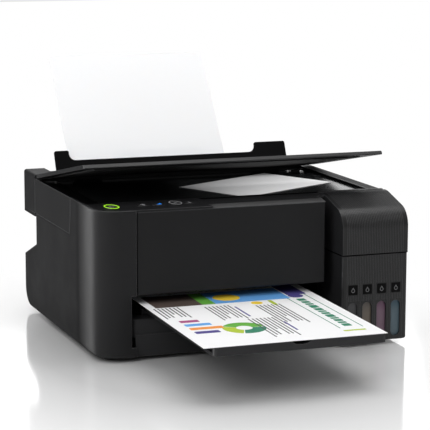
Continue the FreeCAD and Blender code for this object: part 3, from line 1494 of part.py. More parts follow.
def main_frame():
    """The folded steel frame: two side plates, the web behind the carriage and its flange."""
    side_y = (-S.frame_front, S.frame_rear)
    left = block("plate_left", (-FRAME_HALF, PLATE_LEFT), side_y, (UNDER + S.wall, S.frame_top))
    right = block("plate_right", (PLATE_RIGHT, FRAME_HALF), side_y, (PAN_FLOOR, S.frame_top))
    span = (-FRAME_HALF, FRAME_HALF)
    web_y = (S.web_y, S.web_y + S.frame_sheet)
    web = block("frame_web", span, web_y, (S.web_bottom, S.frame_top))
    flange_y = (S.web_y - S.web_flange, S.web_y + S.frame_sheet)
    flange = block("frame_flange", span, flange_y, (S.frame_top - S.frame_sheet, S.frame_top))
    axle_x = (PLATE_LEFT - S.frame_sheet / 2, GEAR_RIGHT + S.wall / 2)
    axle = rod("idler_axle", "x", axle_x, S.shaft_radius, y=IDLER_Y, z=S.roller_z)
    stud_y = (S.web_y - S.belt_width * 2, S.web_y + S.frame_sheet / 2)
    stud = rod("pulley_stud", "y", stud_y, S.motor_shaft, x=-PULLEY_X, z=S.belt_z)
    through = (-FRAME_HALF - PAST, FRAME_HALF + PAST)
    bore = S.shaft_radius + S.running_fit
    holes = [
        rod("feed_bearing", "x", through, bore, y=S.feed_y, z=S.roller_z),
        rod("exit_bearing", "x", through, bore, y=EXIT_Y, z=S.roller_z),
        rod("pickup_bearing", "x", through, bore, y=PICKUP_Y, z=PICKUP_Z),
        rod("rod_hole", "x", through, S.guide_rod_radius, y=S.guide_rod_y, z=S.guide_rod_z),
        rod("motor_hole", "x", (-FRAME_HALF - PAST, 0), S.motor_shaft * 2, y=PINION_Y, z=PINION_Z),
        rod("pulley_hole", "y", (0, S.web_y + PAST * 2), S.motor_shaft * 2, x=PULLEY_X, z=S.belt_z),
    ]
    bare = cut("frame_bare", join("frame_plates", left, right, web, flange), *holes)
    piece(join("frame", bare, axle, stud), "main_frame")
    guide = rod("carriage_bar", "x", span, S.guide_rod_radius, y=S.guide_rod_y, z=S.guide_rod_z)
    piece(guide, "guide_rod")

    can_x = (-FRAME_HALF - S.motor_length, -FRAME_HALF)
    can = rod("feed_can", "x", can_x, S.motor_radius, y=PINION_Y, z=PINION_Z)
    spindle_x = (-FRAME_HALF - S.wall, GEAR_RIGHT)
    spindle = rod("feed_spindle", "x", spindle_x, S.motor_shaft, y=PINION_Y, z=PINION_Z)
    motors = [join("feed_drive", can, spindle)]
    can_y = (S.web_y + S.frame_sheet, S.web_y + S.frame_sheet + S.motor_length)
    can = rod("carriage_can", "y", can_y, S.motor_radius, x=PULLEY_X, z=S.belt_z)
    spindle_y = (S.web_y - S.belt_width * 2, S.web_y + S.frame_sheet + S.wall)
    spindle = rod("carriage_spindle", "y", spindle_y, S.motor_shaft, x=PULLEY_X, z=S.belt_z)
    motors.append(join("carriage_drive", can, spindle))
    piece(group("motor_set", motors), "drive_motors")


def belt_drive():
    """The carriage belt round its two pulleys."""
    middle = S.web_y - S.belt_width
    belt_y = (middle - S.belt_width / 2, middle + S.belt_width / 2)
    clear = S.running_fit
    inner = S.pulley_radius + clear
    outer = inner + S.belt_thick

    def track(name, radius, reach):
        run = block(f"{name}_run", (-PULLEY_X, PULLEY_X), reach, (S.belt_z - radius, S.belt_z + radius))
        ends = [
            rod(f"{name}_end_{n}", "y", reach, radius, x=PULLEY_X * side, z=S.belt_z)
            for n, side in enumerate((-1, 1))
        ]
        return join(name, run, *ends)

    through = (belt_y[0] - PAST, belt_y[1] + PAST)
    belt = cut("belt", track("belt_outer", outer, belt_y), track("belt_inner", inner, through))
    piece(belt, "timing_belt")
    for name, side in (("drive_pulley", 1), ("idler_pulley", -1)):
        x = PULLEY_X * side
        wheel = rod(f"{name}_wheel", "y", belt_y, S.pulley_radius, x=x, z=S.belt_z)
        rim = S.belt_thick * 0.8
        rims = [
            rod(f"{name}_rim_0", "y", (belt_y[0] - rim - clear, belt_y[0] - clear), outer, x=x, z=S.belt_z),
            rod(f"{name}_rim_1", "y", (belt_y[1] + clear, belt_y[1] + rim + clear), outer, x=x, z=S.belt_z),
            rod(f"{name}_hub", "y", (belt_y[0] - rim, belt_y[1] + rim), S.pulley_radius, x=x, z=S.belt_z),
        ]
        bore = rod(f"{name}_bore", "y", through, S.motor_shaft + clear, x=x, z=S.belt_z)
        piece(cut(f"{name}_cut", join(f"{name}_solid", wheel, *rims), bore), name)


def print_carriage():
    """The carriage on its rod, with open damper bays, and the print head under it."""
    made = body("carriage_case")
    low = CARRIAGE_X - S.carriage_half
    high = CARRIAGE_X + S.carriage_half
    front = -S.carriage_front
    rear = -S.carriage_rear
    corners = [(low, front), (high, front), (high, rear), (low, rear)]
    drawn = outline(made, "XY_Plane", corners, S.carriage_bottom)
    solid = pad(made, drawn, S.carriage_top - S.carriage_bottom)
    fillet(made, solid, S.carriage_radius, {"x": low, "y": front}, {"x": high, "y": front})
    bays = []
    skin = S.carriage_skin
    count = 4
    step = (S.carriage_half * 2 - skin) / count
    bay_rear = S.guide_rod_y - S.guide_rod_radius - skin
    bay_floor = S.carriage_bottom + skin * 3
    for n in range(count):
        start = low + skin + step * n
        bay = block(
            f"damper_bay_{n}",
            (start, start + step - skin),
            (front + skin, bay_rear),
            (bay_floor, S.carriage_top + PAST),
        )
        bays.append(bay)
    through = (low - PAST, high + PAST)
    fit = S.guide_rod_radius + S.running_fit
    bore = rod("carriage_bore", "x", through, fit, y=S.guide_rod_y, z=S.guide_rod_z)
    shoe_y = (rear - skin, S.web_y - S.seam)
    shoe_top = S.frame_top - S.frame_sheet - S.seam
    shoe = block("carriage_shoe", (low + skin, high - skin), shoe_y, (S.carriage_top - skin, shoe_top))
    grip_y = (rear - skin, S.web_y - S.belt_width * 1.5 - S.running_fit * 3)
    grip_z = (S.belt_z - S.pulley_radius - skin, S.belt_z + S.pulley_radius + skin)
    half_grip = S.carriage_half / 4
    clamp = block("belt_clamp", (CARRIAGE_X - half_grip, CARRIAGE_X + half_grip), grip_y, grip_z)
    piece(join("carriage", cut("carriage_open", made, bore, *bays), shoe, clamp), "print_carriage")
    inset = S.head_inset
    head = body("head_block")
    head_low = S.carriage_bottom - S.head_height
    corners = [
        (low + inset, front + inset),
        (high - inset, front + inset),
        (high - inset, rear - inset * 2),
        (low + inset, rear - inset * 2),
    ]
    solid = pad(head, outline(head, "XY_Plane", corners, head_low), S.head_height)
    tips = [{"x": x, "y": y} for x in (low + inset, high - inset) for y in (front + inset, rear - inset * 2)]
    fillet(head, solid, S.carriage_skin, *tips)
    piece(head, "print_head")


def paper_path():
    """The ribbed platen on its legs, and the guide that turns the sheet in from the chute."""
    x = (PLATEN_LEFT, PLATEN_RIGHT)
    y = (-S.platen_front, -S.platen_rear)
    low = S.tray_bottom + S.tray_thick + S.seam * 2
    deck = block("platen_deck", x, y, (low, S.platen_top))
    parts = [deck]
    for n, edge in enumerate((PLATEN_LEFT, PLATEN_RIGHT - S.platen_leg)):
        parts.append(block(f"platen_leg_{n}", (edge, edge + S.platen_leg), y, (PAN_FLOOR, S.platen_top)))
    step = (PLATEN_RIGHT - PLATEN_LEFT) / S.rib_count
    for n in range(int(S.rib_count.value)):
        start = PLATEN_LEFT + step * (n + 0.5)
        rib_z = (S.platen_top - S.rib_height, S.platen_top + S.rib_height)
        parts.append(block(f"platen_rib_{n}", (start, start + S.rib_width), y, rib_z))
    piece(join("platen_solid", *parts), "platen")
    made = body("turn_guide")
    near = S.feed_y + S.feed_radius + S.wall
    far = as_size(S.chute_guide_end)
    sag = S.roller_z + S.feed_radius - S.wall
    corners = [
        (near, sag - S.wall),
        (far, sag + S.chute_guide_rise - S.wall),
        (far, sag + S.chute_guide_rise),
        (near, sag),
    ]
    left = GEAR_RIGHT + S.wall
    pad(made, outline(made, "YZ_Plane", corners, left), PLATE_RIGHT - left)
    piece(made, "paper_guide")


def capping_station():
    """The parking place: a lipped cap that seals the head, a wiper and the pump below."""
    left = CARRIAGE_X - S.station_half
    right = CARRIAGE_X + S.station_half
    y = (-S.station_front, -S.station_rear)
    base = block("station_base", (left, right), y, (PAN_FLOOR, S.station_top))
    top = S.carriage_bottom - S.head_height - S.seam
    inset = S.head_inset
    rim_x = (left + inset, right - inset)
    rim_y = (y[0] + inset, y[1] - inset)
    rim = block("station_rim", rim_x, rim_y, (S.station_top, top))
    lip = S.station_lip
    well = block(
        "station_well",
        (rim_x[0] + lip, rim_x[1] - lip),
        (rim_y[0] + lip, rim_y[1] - lip),
        (S.station_top + lip, top + PAST),
    )
    wiper_x = (left + lip, left + lip * 1.6)
    wiper = block("station_wiper", wiper_x, rim_y, (S.station_top, top))
    piece(join("station", base, cut("station_cap", rim, well), wiper), "capping_station")


def electrics():
    """The power supply, the main board and the waste ink pad on the base pan's floor."""
    y = (S.electrics_y, S.electrics_y + S.supply_depth)
    half = S.supply_width / 2
    supply_x = (SUPPLY_X - half, SUPPLY_X + half)
    made = body("supply_box")
    corners = [(supply_x[0], y[0]), (supply_x[1], y[0]), (supply_x[1], y[1]), (supply_x[0], y[1])]
    solid = pad(made, outline(made, "XY_Plane", corners, PAN_FLOOR), S.supply_height)
    fillet(made, solid, S.wall, {"z": PAN_FLOOR + S.supply_height})
    piece(made, "power_supply")
    half = S.board_width / 2
    low = PAN_FLOOR + S.board_rise
    board_x = (BOARD_X - half, BOARD_X + half)
    board_y = (S.electrics_y, S.electrics_y + S.board_depth)
    parts = [block("board_sheet", board_x, board_y, (low, low + S.board_thick))]
    inset = S.board_rise
    for n, (x, along) in enumerate(((x, along) for x in (0, 1) for along in (0, 1))):
        spot_x = board_x[x] + inset * (1 - 2 * x)
        spot_y = board_y[along] + inset * (1 - 2 * along)
        parts.append(rod(f"board_post_{n}", "z", (PAN_FLOOR, low), S.wall, x=spot_x, y=spot_y))
    chip = S.board_depth / 4
    chip_top = low + S.board_thick * 2
    for n, way in enumerate((-1, 1)):
        middle = BOARD_X + S.board_width / 5 * way
        chip_y = (board_y[0] + chip, board_y[0] + chip * 2)
        chip_x = (middle - chip / 2, middle + chip / 2)
        parts.append(block(f"board_chip_{n}", chip_x, chip_y, (low, chip_top)))
    piece(join("board", *parts), "main_board")
    pad_x = (TRAY_LEFT + S.tray_ledge, TRAY_RIGHT - S.tray_ledge)
    pad_y = (-S.pad_front, -S.pad_front + S.pad_depth)
    piece(block("felt", pad_x, pad_y, (PAN_FLOOR, PAN_FLOOR + S.pad_height)), "waste_ink_pad")


def check_document():
    """Stop unless every object came out whole."""
    doc.recompute()
    failed = [made.Name for made in doc.Objects if {"Invalid", "Error"} & set(made.State)]
    failed += [made.Label for made in PIECES if made.Shape.isNull() or not made.Shape.isValid()]
    if failed:
        raise RuntimeError("not built: " + ", ".join(failed))


def write_parts():
    os.makedirs("parts", exist_ok=True)
    for made in PIECES:
        made.Shape.exportStep(os.path.join("parts", made.Label + ".step"))


left_housing()
right_housing()
rear_cover()
usb_port()
ac_inlet()
base_tray()
rubber_feet()
front_panel()
control_panel()
tank_housing()
tank_cover()
ink_tanks()
ink_tubes()
scanner_unit()
scan_carriage()
original_sheet()
document_lid()
rear_housing()
feeder_parts()
output_tray()
roller_train()
main_frame()
belt_drive()
print_carriage()
paper_path()
capping_station()
electrics()
check_document()
write_parts()
print(len(PIECES), "pieces,", sum(len(made.Shape.Solids) for made in PIECES), "solids")
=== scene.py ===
"""Looks for an all-in-one ink tank printer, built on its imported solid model.

Every operator dresses one group of pieces. Sizes are metres in the model's own frame unless a
name ends in _MM or a docstring says millimetres, and colours are scene-linear.
"""

import math

import bmesh
import bpy
from bpy.props import FloatProperty, FloatVectorProperty, IntProperty, PointerProperty
from mathutils import Matrix, Vector


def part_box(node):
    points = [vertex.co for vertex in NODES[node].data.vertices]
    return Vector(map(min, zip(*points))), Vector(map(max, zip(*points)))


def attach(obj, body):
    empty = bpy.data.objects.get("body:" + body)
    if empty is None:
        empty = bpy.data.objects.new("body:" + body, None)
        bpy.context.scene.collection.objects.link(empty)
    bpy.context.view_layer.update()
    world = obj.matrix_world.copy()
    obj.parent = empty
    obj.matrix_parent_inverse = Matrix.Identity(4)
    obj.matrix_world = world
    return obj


bl_info = {
    "name": "Ink Tank Printer Looks",
    "version": (1, 0, 0),
    "blender": (4, 5, 0),
    "location": "View3D > Sidebar > Printer",
    "description": "Finishes, prints, lamps and stage for an ink tank printer",
    "category": "Object",
}

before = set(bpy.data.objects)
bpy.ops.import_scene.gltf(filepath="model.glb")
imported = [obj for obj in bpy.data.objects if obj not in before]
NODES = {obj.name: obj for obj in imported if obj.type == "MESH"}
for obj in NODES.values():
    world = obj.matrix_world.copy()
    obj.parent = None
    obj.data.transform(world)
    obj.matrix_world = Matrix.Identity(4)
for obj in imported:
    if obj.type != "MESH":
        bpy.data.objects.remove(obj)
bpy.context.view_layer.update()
MM = 0.001

INKS = ("black", "yellow", "magenta", "cyan")
KEYS = ("power", "wireless", "network", "copy", "stop")
ACROSS, REARWARD, UPWARD = Vector((1, 0, 0)), Vector((0, 1, 0)), Vector((0, 0, 1))


def colour_property(name, description, default):
    return FloatVectorProperty(
        name=name, description=description, default=default, subtype="COLOR", size=3, min=0, max=1
    )


def length_property(name, description, default):
    return FloatProperty(
        name=name, description=description, default=default, min=0, subtype="DISTANCE", unit="LENGTH"
    )


def angle_property(name, description, degrees):
    return FloatProperty(name=name, description=description, default=math.radians(degrees), subtype="ANGLE")


class PrinterFinish(bpy.types.PropertyGroup):
    """Colours of the printer's finishes."""

    case: colour_property("Case", "Moulded case walls", (0.0135, 0.0135, 0.0142))
    panel: colour_property("Panel", "Front panel and control strip", (0.0105, 0.0105, 0.0112))
    tank_case: colour_property("Tank case", "Ribbed shell and cover of the tanks", (0.0062, 0.0062, 0.0066))
    inside: colour_property("Inside", "Plain black inner mouldings", (0.006, 0.006, 0.0065))
    bed: colour_property("Bed", "Scanner frame round the glass", (0.003, 0.003, 0.0032))
    lid: colour_property("Lid", "Document cover", (0.0125, 0.0125, 0.0132))
    key: colour_property("Keys", "Button caps", (0.008, 0.008, 0.0085))
    steel: colour_property("Steel", "Plated steel", (0.52, 0.53, 0.55))
    natural: colour_property("Gears", "Undyed gear plastic", (0.78, 0.77, 0.72))
    rubber: colour_property("Rubber", "Feet, rollers and belt", (0.011, 0.011, 0.011))
    paper: colour_property("Paper", "Plain sheets", (0.86, 0.86, 0.865))
    mark: colour_property("Marks", "Printed symbols on the strip and tanks", (0.24, 0.24, 0.25))
    ring: colour_property("Power ring", "Lit ring of the power button", (0.33, 0.72, 0.02))
    lamp: colour_property("Indicator", "Lit network indicator", (0.01, 0.22, 0.85))


class PrinterDetail(bpy.types.PropertyGroup):
    """Sizes of what is printed, ribbed or lit."""

    rib_pitch: length_property("Rib pitch", "Distance between the ribs on the tank case", 2.1 * MM)
    rib_width: length_property("Rib width", "Width of one rib", 1.1 * MM)
    rib_proud: length_property("Rib height", "How far a rib stands out", 0.25 * MM)
    label_size: length_property("Label size", "Side of the square over each window", 11.5 * MM)
    print_lift: length_property("Print thickness", "Thickness of printed shapes", 0.05 * MM)
    ring_radius: length_property("Ring radius", "Half the width of the power ring", 8.2 * MM)
    ring_width: length_property("Ring width", "Width of the power ring's line", 1.45 * MM)
    copy_radius: length_property("Copy ring radius", "Half the width of the copy key's ring", 7.1 * MM)
    copy_width: length_property("Copy ring width", "Width of the copy ring's line", 0.8 * MM)
    text_lines: IntProperty(name="Text lines", description="Grey lines in each block", default=7, min=1)


class PrinterStage(bpy.types.PropertyGroup):
    """The camera and floor."""

    lens: FloatProperty(name="Lens", description="Camera lens", default=158.9, unit="CAMERA")
    distance: length_property("Distance", "From the camera to what it looks at", 2.33424)
    azimuth: angle_property("Azimuth", "Turn to the left", 20.197)
    elevation: angle_property("Elevation", "Tilt down", 9.603)
    roll: angle_property("Roll", "Turn about the view", 0.111)
    floor_size: length_property("Floor size", "Side of the floor", 14.0)


# Node helpers


BROAD_EDGE = 2.0 * MM
SHALLOW_GLOSS = 0.08


def fresh_material(name):
    made = bpy.data.materials.new(name)
    made.use_nodes = True
    made.node_tree.nodes.clear()
    return made


class Nodes:
    """A shorthand for the node tree of one material or surround."""

    def __init__(self, owner):
        self.tree = owner.node_tree

    def add(self, kind, **values):
        made = self.tree.nodes.new(kind)
        for key, value in values.items():
            setattr(made, key, value)
        return made

    def link(self, source, target):
        self.tree.links.new(source, target)

    def feed(self, socket, value):
        """Link another node's output to a socket, or set the socket to a plain value."""
        if isinstance(value, bpy.types.NodeSocket):
            self.link(value, socket)
        else:
            socket.default_value = value

    def maths(self, operation, *values):
        """One sum of amounts."""
        made = self.add("ShaderNodeMath", operation=operation)
        for socket, value in zip(made.inputs, values):
            self.feed(socket, value)
        return made.outputs["Value"]

    def vectors(self, operation, *values, output="Vector"):
        """One sum of places or directions."""
        made = self.add("ShaderNodeVectorMath", operation=operation)
        for socket, value in zip(made.inputs, values):
            self.feed(socket, value)
        return made.outputs[output]

    def place(self):
        """Places on the piece, in metres."""
        return self.add("ShaderNodeTexCoord").outputs["Object"]

    def facing(self):
        """The direction that the surface faces, before any relief."""
        return self.add("ShaderNodeNewGeometry").outputs["Normal"]

    def axes(self, vector):
        """The X, Y and Z of a place or a direction."""
        made = self.add("ShaderNodeSeparateXYZ")
        self.link(vector, made.inputs["Vector"])
        return made.outputs

    def noise(self, place, scale, detail=3.0, roughness=0.55):
        made = self.add("ShaderNodeTexNoise")
        made.inputs["Scale"].default_value = scale
        made.inputs["Detail"].default_value = detail
        made.inputs["Roughness"].default_value = roughness
        self.link(place, made.inputs["Vector"])
        return made.outputs["Fac"]

    def spread(self, value, low, high, start=0.3, end=0.7):
        """Map a pattern, from start to end, to a range of values."""
        made = self.add("ShaderNodeMapRange")
        made.inputs["From Min"].default_value = start
        made.inputs["From Max"].default_value = end
        made.inputs["To Min"].default_value = low
        made.inputs["To Max"].default_value = high
        self.link(value, made.inputs["Value"])
        return made.outputs["Result"]

    def tones(self, value, stops):
        """A colour ramp from (place, colour) stops."""
        made = self.add("ShaderNodeValToRGB")
        points = made.color_ramp.elements
        while len(points) < len(stops):
            points.new(0.5)
        for point, (place, colour) in zip(points, stops):
            point.position = place
            point.color = (*colour, 1)
        self.link(value, made.inputs["Fac"])
        return made.outputs["Color"]

    def blend(self, amount, first, second):
        """Mix a colour output with a plain colour."""
        made = self.add("ShaderNodeMix", data_type="RGBA")
        self.link(amount, made.inputs[0])
        self.link(first, made.inputs[6])
        made.inputs[7].default_value = (*second, 1)
        return made.outputs[2]

    def softened(self, radius, samples=6):
        """The direction that the surface faces, with its edges rounded by a radius."""
        made = self.add("ShaderNodeBevel", samples=samples)
        made.inputs["Radius"].default_value = radius
        return made.outputs["Normal"]

    def relief(self, height, strength, depth, edge=0.0):
        """A bumped normal, over softened edges where an edge radius is given."""
        made = self.add("ShaderNodeBump")
        made.inputs["Strength"].default_value = strength
        made.inputs["Distance"].default_value = depth
        self.link(height, made.inputs["Height"])
        if edge:
            self.link(self.softened(edge, 6 if edge < BROAD_EDGE else 16), made.inputs["Normal"])
        return made.outputs["Normal"]

    def edges(self, radius):
        """How near a point is to a sharp edge: 0 on open faces and up to 1 along the edge."""
        turn = self.vectors("DOT_PRODUCT", self.softened(radius), self.facing(), output="Value")
        return self.spread(turn, 1.0, 0.0, start=0.75, end=0.995)

    def sheen(self, level, normal=None):
        """A gloss that fades where the surface turns away, as an eroded grain breaks up a shallow reflection."""
        weight = self.add("ShaderNodeLayerWeight")
        if normal:
            self.link(normal, weight.inputs["Normal"])
        return self.spread(weight.outputs["Facing"], level, level * SHALLOW_GLOSS, start=0.44, end=0.64)

    def bowed(self, normal, place, start, end, most):
        """Turn upright faces a little to the front, from none at one place in Y to the most at another."""
        lying = self.maths("ABSOLUTE", self.axes(self.facing())["Z"])
        upright = self.spread(lying, 1.0, 0.0, start=0.0, end=1.0)
        turn = self.spread(self.axes(place)["Y"], 0.0, most, start, end)
        push = self.add("ShaderNodeVectorMath", operation="SCALE")
        push.inputs[0].default_value = -REARWARD
        self.link(self.maths("MULTIPLY", turn, upright), push.inputs["Scale"])
        return self.vectors("NORMALIZE", self.vectors("ADD", normal, push.outputs["Vector"]))

    def surface(self, **sockets):
        """The finished surface; each value is a number, a colour or another node's output."""
        made = self.add("ShaderNodeBsdfPrincipled")
        for key, value in sockets.items():
            self.feed(made.inputs[key.replace("_", " ")], (*value, 1) if isinstance(value, tuple) else value)
        self.show(made.outputs["BSDF"])

    def show(self, shader, kind="ShaderNodeOutputMaterial"):
        """Make a shader the tree's result."""
        self.link(shader, self.add(kind).inputs["Surface"])


def shade(colour, factor):
    return tuple(min(1.0, channel * factor) for channel in colour)


# Finishes


PITS = 1 / (0.45 * MM)
PIT_DEPTH = 0.06 * MM
EDGE_SOFT = 0.6 * MM
EDGE_HIGHLIGHT_BAND = 1.2 * MM
LIT_SIDE_FROM, LIT_SIDE_TO, LIT_SIDE_TONE = 0.5 * MM, 1.0 * MM, 3.4
END_SHADE_FROM, END_SHADE_TO, END_SHADE_TONE = 0.5 * MM, 1.2 * MM, 0.08
SEAM_BLUR, SEAM_SHADE_TONE, SEAM_GLOSS = 0.2 * MM, 0.05, 0.02
LIP_BLUR_X, LIP_BLUR_Y, LIP_GLOSS = 6.0 * MM, 0.6 * MM, 0.6
WELL_BLUR = 0.4 * MM
INK_RIPPLE = 0.6 * MM


def cloudy(nodes, place, colour, uneven):
    """A colour with slight, broad unevenness of tone."""
    cloud = nodes.noise(place, scale=9.0, detail=4.0)
    return nodes.tones(cloud, ((0.3, shade(colour, 1 - uneven)), (0.7, shade(colour, 1 + uneven))))


def moulded(
    name, colour, roughness=0.42, specular=0.4, depth=PIT_DEPTH, edge=EDGE_SOFT, uneven=0.12, edge_highlight=0.0,
    ends=None, side=None, shaded_seam=None, lip=None, bow=None,
):
    """Moulded plastic: a fine eroded grain, slight unevenness of tone and polish, softened edges, and, where a
    factor is given, a painted highlight along the edges.

    edge_highlight: how many times paler the painted highlight along an edge is. ends: the piece's ends in X,
    each painted dark over its last millimetre, as painted shade in the gap beside it.
    side: the place in X of a face painted in a paler tone, as painted light on a side that is in shade. seam:
    two heights with a dark line between them, painted as shade in the gap of the joint.
    lip: a glossier front edge, past a place in X and before a place in Y.
    bow: where upright faces start and cease to turn to the front, in Y, and by how much.
    """
    made = fresh_material(name)
    nodes = Nodes(made)
    place = nodes.place()
    axes = nodes.axes(place)
    base = cloudy(nodes, place, colour, uneven)
    # Painted highlight: a narrow band along each edge is painted paler, as if it catches the light.
    if edge_highlight:
        base = nodes.blend(nodes.edges(EDGE_HIGHLIGHT_BAND), base, shade(colour, edge_highlight))
    # Painted light: the face at this place in X is painted paler, as if lit from its side.
    if side is not None:
        face = nodes.spread(axes["X"], 1.0, 0.0, side + LIT_SIDE_FROM, side + LIT_SIDE_TO)
        base = nodes.blend(face, base, shade(colour, LIT_SIDE_TONE))
    # Painted shade: a dark band between the two heights, with almost no gloss, as shade in the gap of a joint.
    if shaded_seam:
        low, high = shaded_seam
        rise = nodes.spread(axes["Z"], 0.0, 1.0, low - SEAM_BLUR, low)
        fall = nodes.spread(axes["Z"], 1.0, 0.0, high, high + SEAM_BLUR)
        line = nodes.maths("MULTIPLY", rise, fall)
        base = nodes.blend(line, base, shade(colour, SEAM_SHADE_TONE))
    # Painted shade: each end in X is painted dark, as shade in the gap beside the piece.
    if ends:
        for end, inward in zip(ends, (1, -1)):
            near = nodes.spread(axes["X"], 1.0, 0.0, end + inward * END_SHADE_FROM, end + inward * END_SHADE_TO)
            base = nodes.blend(near, base, shade(colour, END_SHADE_TONE))
    pits = nodes.noise(place, scale=PITS, detail=2.0, roughness=0.6)
    normal = nodes.relief(pits, strength=0.35, depth=depth, edge=edge)
    if bow:
        normal = nodes.bowed(normal, place, *bow)
    gloss = nodes.sheen(specular, normal)
    if shaded_seam:
        gloss = nodes.maths("MULTIPLY", gloss, nodes.spread(line, 1.0, SEAM_GLOSS, start=0.0, end=1.0))
    if lip:
        left, rear = lip
        along = nodes.spread(axes["X"], 0.0, 1.0, left, left + LIP_BLUR_X)
        before = nodes.spread(axes["Y"], 1.0, 0.0, rear, rear + LIP_BLUR_Y)
        gloss = nodes.maths("MULTIPLY_ADD", nodes.maths("MULTIPLY", along, before), LIP_GLOSS, gloss)
    patches = nodes.noise(place, scale=24.0, detail=5.0)
    nodes.surface(
        Base_Color=base,
        Roughness=nodes.spread(patches, roughness - 0.04, roughness + 0.05),
        Specular_IOR_Level=gloss,
        Normal=normal,
    )
    return made


def bed_moulding(name, skin, well, edge):
    """The scanner's moulding: case plastic on its outer flank and plain black round the glass."""
    made = fresh_material(name)
    nodes = Nodes(made)
    place = nodes.place()
    inner = nodes.spread(nodes.axes(place)["X"], 0.0, 1.0, edge, edge + WELL_BLUR)
    # Painted highlight: the flank's edges are painted eight times paler, as if they catch the light.
    flank = nodes.blend(nodes.edges(EDGE_HIGHLIGHT_BAND), cloudy(nodes, place, skin, 0.12), shade(skin, 8.0))
    pits = nodes.noise(place, scale=2200.0, detail=2.0, roughness=0.6)
    nodes.surface(
        Base_Color=nodes.blend(inner, flank, well),
        Roughness=nodes.spread(inner, 0.46, 0.3, start=0.0, end=1.0),
        Specular_IOR_Level=nodes.sheen(0.18),
        Normal=nodes.relief(pits, strength=0.35, depth=0.04 * MM, edge=EDGE_SOFT),
    )
    return made


def brushed(name, colour):
    """Plated sheet steel with a faint rolled streak."""
    made = fresh_material(name)
    nodes = Nodes(made)
    stretch = nodes.add("ShaderNodeMapping")
    stretch.inputs["Scale"].default_value = (3.0, 400.0, 400.0)
    nodes.link(nodes.place(), stretch.inputs["Vector"])
    streak = nodes.noise(stretch.outputs["Vector"], scale=3.0, detail=4.0)
    nodes.surface(
        Base_Color=nodes.tones(streak, ((0.3, shade(colour, 0.86)), (0.7, shade(colour, 1.08)))),
        Metallic=1.0,
        Roughness=nodes.spread(streak, 0.24, 0.4),
        Normal=nodes.relief(streak, strength=0.15, depth=0.03 * MM, edge=0.3 * MM),
    )
    return made


def soft_rubber(name, colour):
    """Matt rubber with a little dust in its grit."""
    made = fresh_material(name)
    nodes = Nodes(made)
    place = nodes.place()
    dust = nodes.noise(place, scale=60.0, detail=6.0)
    grit = nodes.noise(place, scale=2600.0, detail=2.0)
    nodes.surface(
        Base_Color=nodes.tones(dust, ((0.35, tuple(colour)), (0.75, shade(colour, 1.7)))),
        Roughness=nodes.spread(dust, 0.62, 0.8),
        Specular_IOR_Level=0.25,
        Normal=nodes.relief(grit, strength=0.4, depth=0.05 * MM, edge=0.4 * MM),
    )
    return made


def platen_glass(name):
    """Dark float glass over the scanner's black well, with a trace of smear in its polish."""
    made = fresh_material(name)
    nodes = Nodes(made)
    smear = nodes.noise(nodes.place(), scale=14.0, detail=6.0, roughness=0.7)
    nodes.surface(
        Base_Color=nodes.tones(smear, ((0.3, (0.02, 0.021, 0.022)), (0.8, (0.03, 0.032, 0.033)))),
        Roughness=nodes.spread(smear, 0.1, 0.16),
        IOR=1.5,
        Specular_IOR_Level=0.12,
        Transmission_Weight=0.6,
    )
    return made


def paper_fibre(nodes, place):
    return nodes.noise(place, scale=900.0, detail=5.0, roughness=0.7)


def paper_stock(name, colour, see_through=0.0):
    """Uncoated paper: faint fibres in tone and relief."""
    made = fresh_material(name)
    nodes = Nodes(made)
    fibre = paper_fibre(nodes, nodes.place())
    nodes.surface(
        Base_Color=nodes.tones(fibre, ((0.3, shade(colour, 0.975)), (0.7, tuple(colour)))),
        Roughness=nodes.spread(fibre, 0.7, 0.85),
        Specular_IOR_Level=0.2,
        Subsurface_Weight=see_through,
        Normal=nodes.relief(fibre, strength=0.12, depth=0.02 * MM),
    )
    return made


def shade_faded_sheet(name, dark, pale, turn, start, end):
    """Paper with one smooth fade along a direction, which is turned from X by an angle: painted shade at one
    end, passing to the paper's pale at the other.
    """
    made = fresh_material(name)
    nodes = Nodes(made)
    place = nodes.place()
    direction = (math.cos(turn), math.sin(turn), 0.0)
    along = nodes.vectors("DOT_PRODUCT", place, direction, output="Value")
    amount = nodes.spread(along, 0.0, 1.0, start, end)
    fibre = paper_fibre(nodes, place)
    nodes.surface(
        Base_Color=nodes.tones(amount, ((0.0, dark), (1.0, pale))),
        Roughness=nodes.spread(fibre, 0.62, 0.78),
        Specular_IOR_Level=0.25,
        Normal=nodes.relief(fibre, strength=0.12, depth=0.02 * MM),
    )
    return made


def printed_ink(name, colour):
    """Ink on paper or plastic, with the grain of its dots."""
    made = fresh_material(name)
    nodes = Nodes(made)
    dots = nodes.noise(nodes.place(), scale=1800.0, detail=2.0)
    pale = tuple(channel + (1 - channel) * 0.07 for channel in colour)
    nodes.surface(
        Base_Color=nodes.tones(dots, ((0.3, shade(colour, 0.92)), (0.75, pale))),
        Roughness=nodes.spread(dots, 0.55, 0.72),
        Specular_IOR_Level=0.25,
    )
    return made


def lit(name, colour, strength):
    """A lit light guide, a little brighter in patches where its lamps are."""
    made = fresh_material(name)
    nodes = Nodes(made)
    patch = nodes.noise(nodes.place(), scale=160.0, detail=2.0)
    nodes.surface(
        Base_Color=shade(colour, 0.4),
        Roughness=0.35,
        Emission_Color=nodes.tones(patch, ((0.3, shade(colour, 0.9)), (0.7, tuple(colour)))),
        Emission_Strength=strength,
    )
    return made


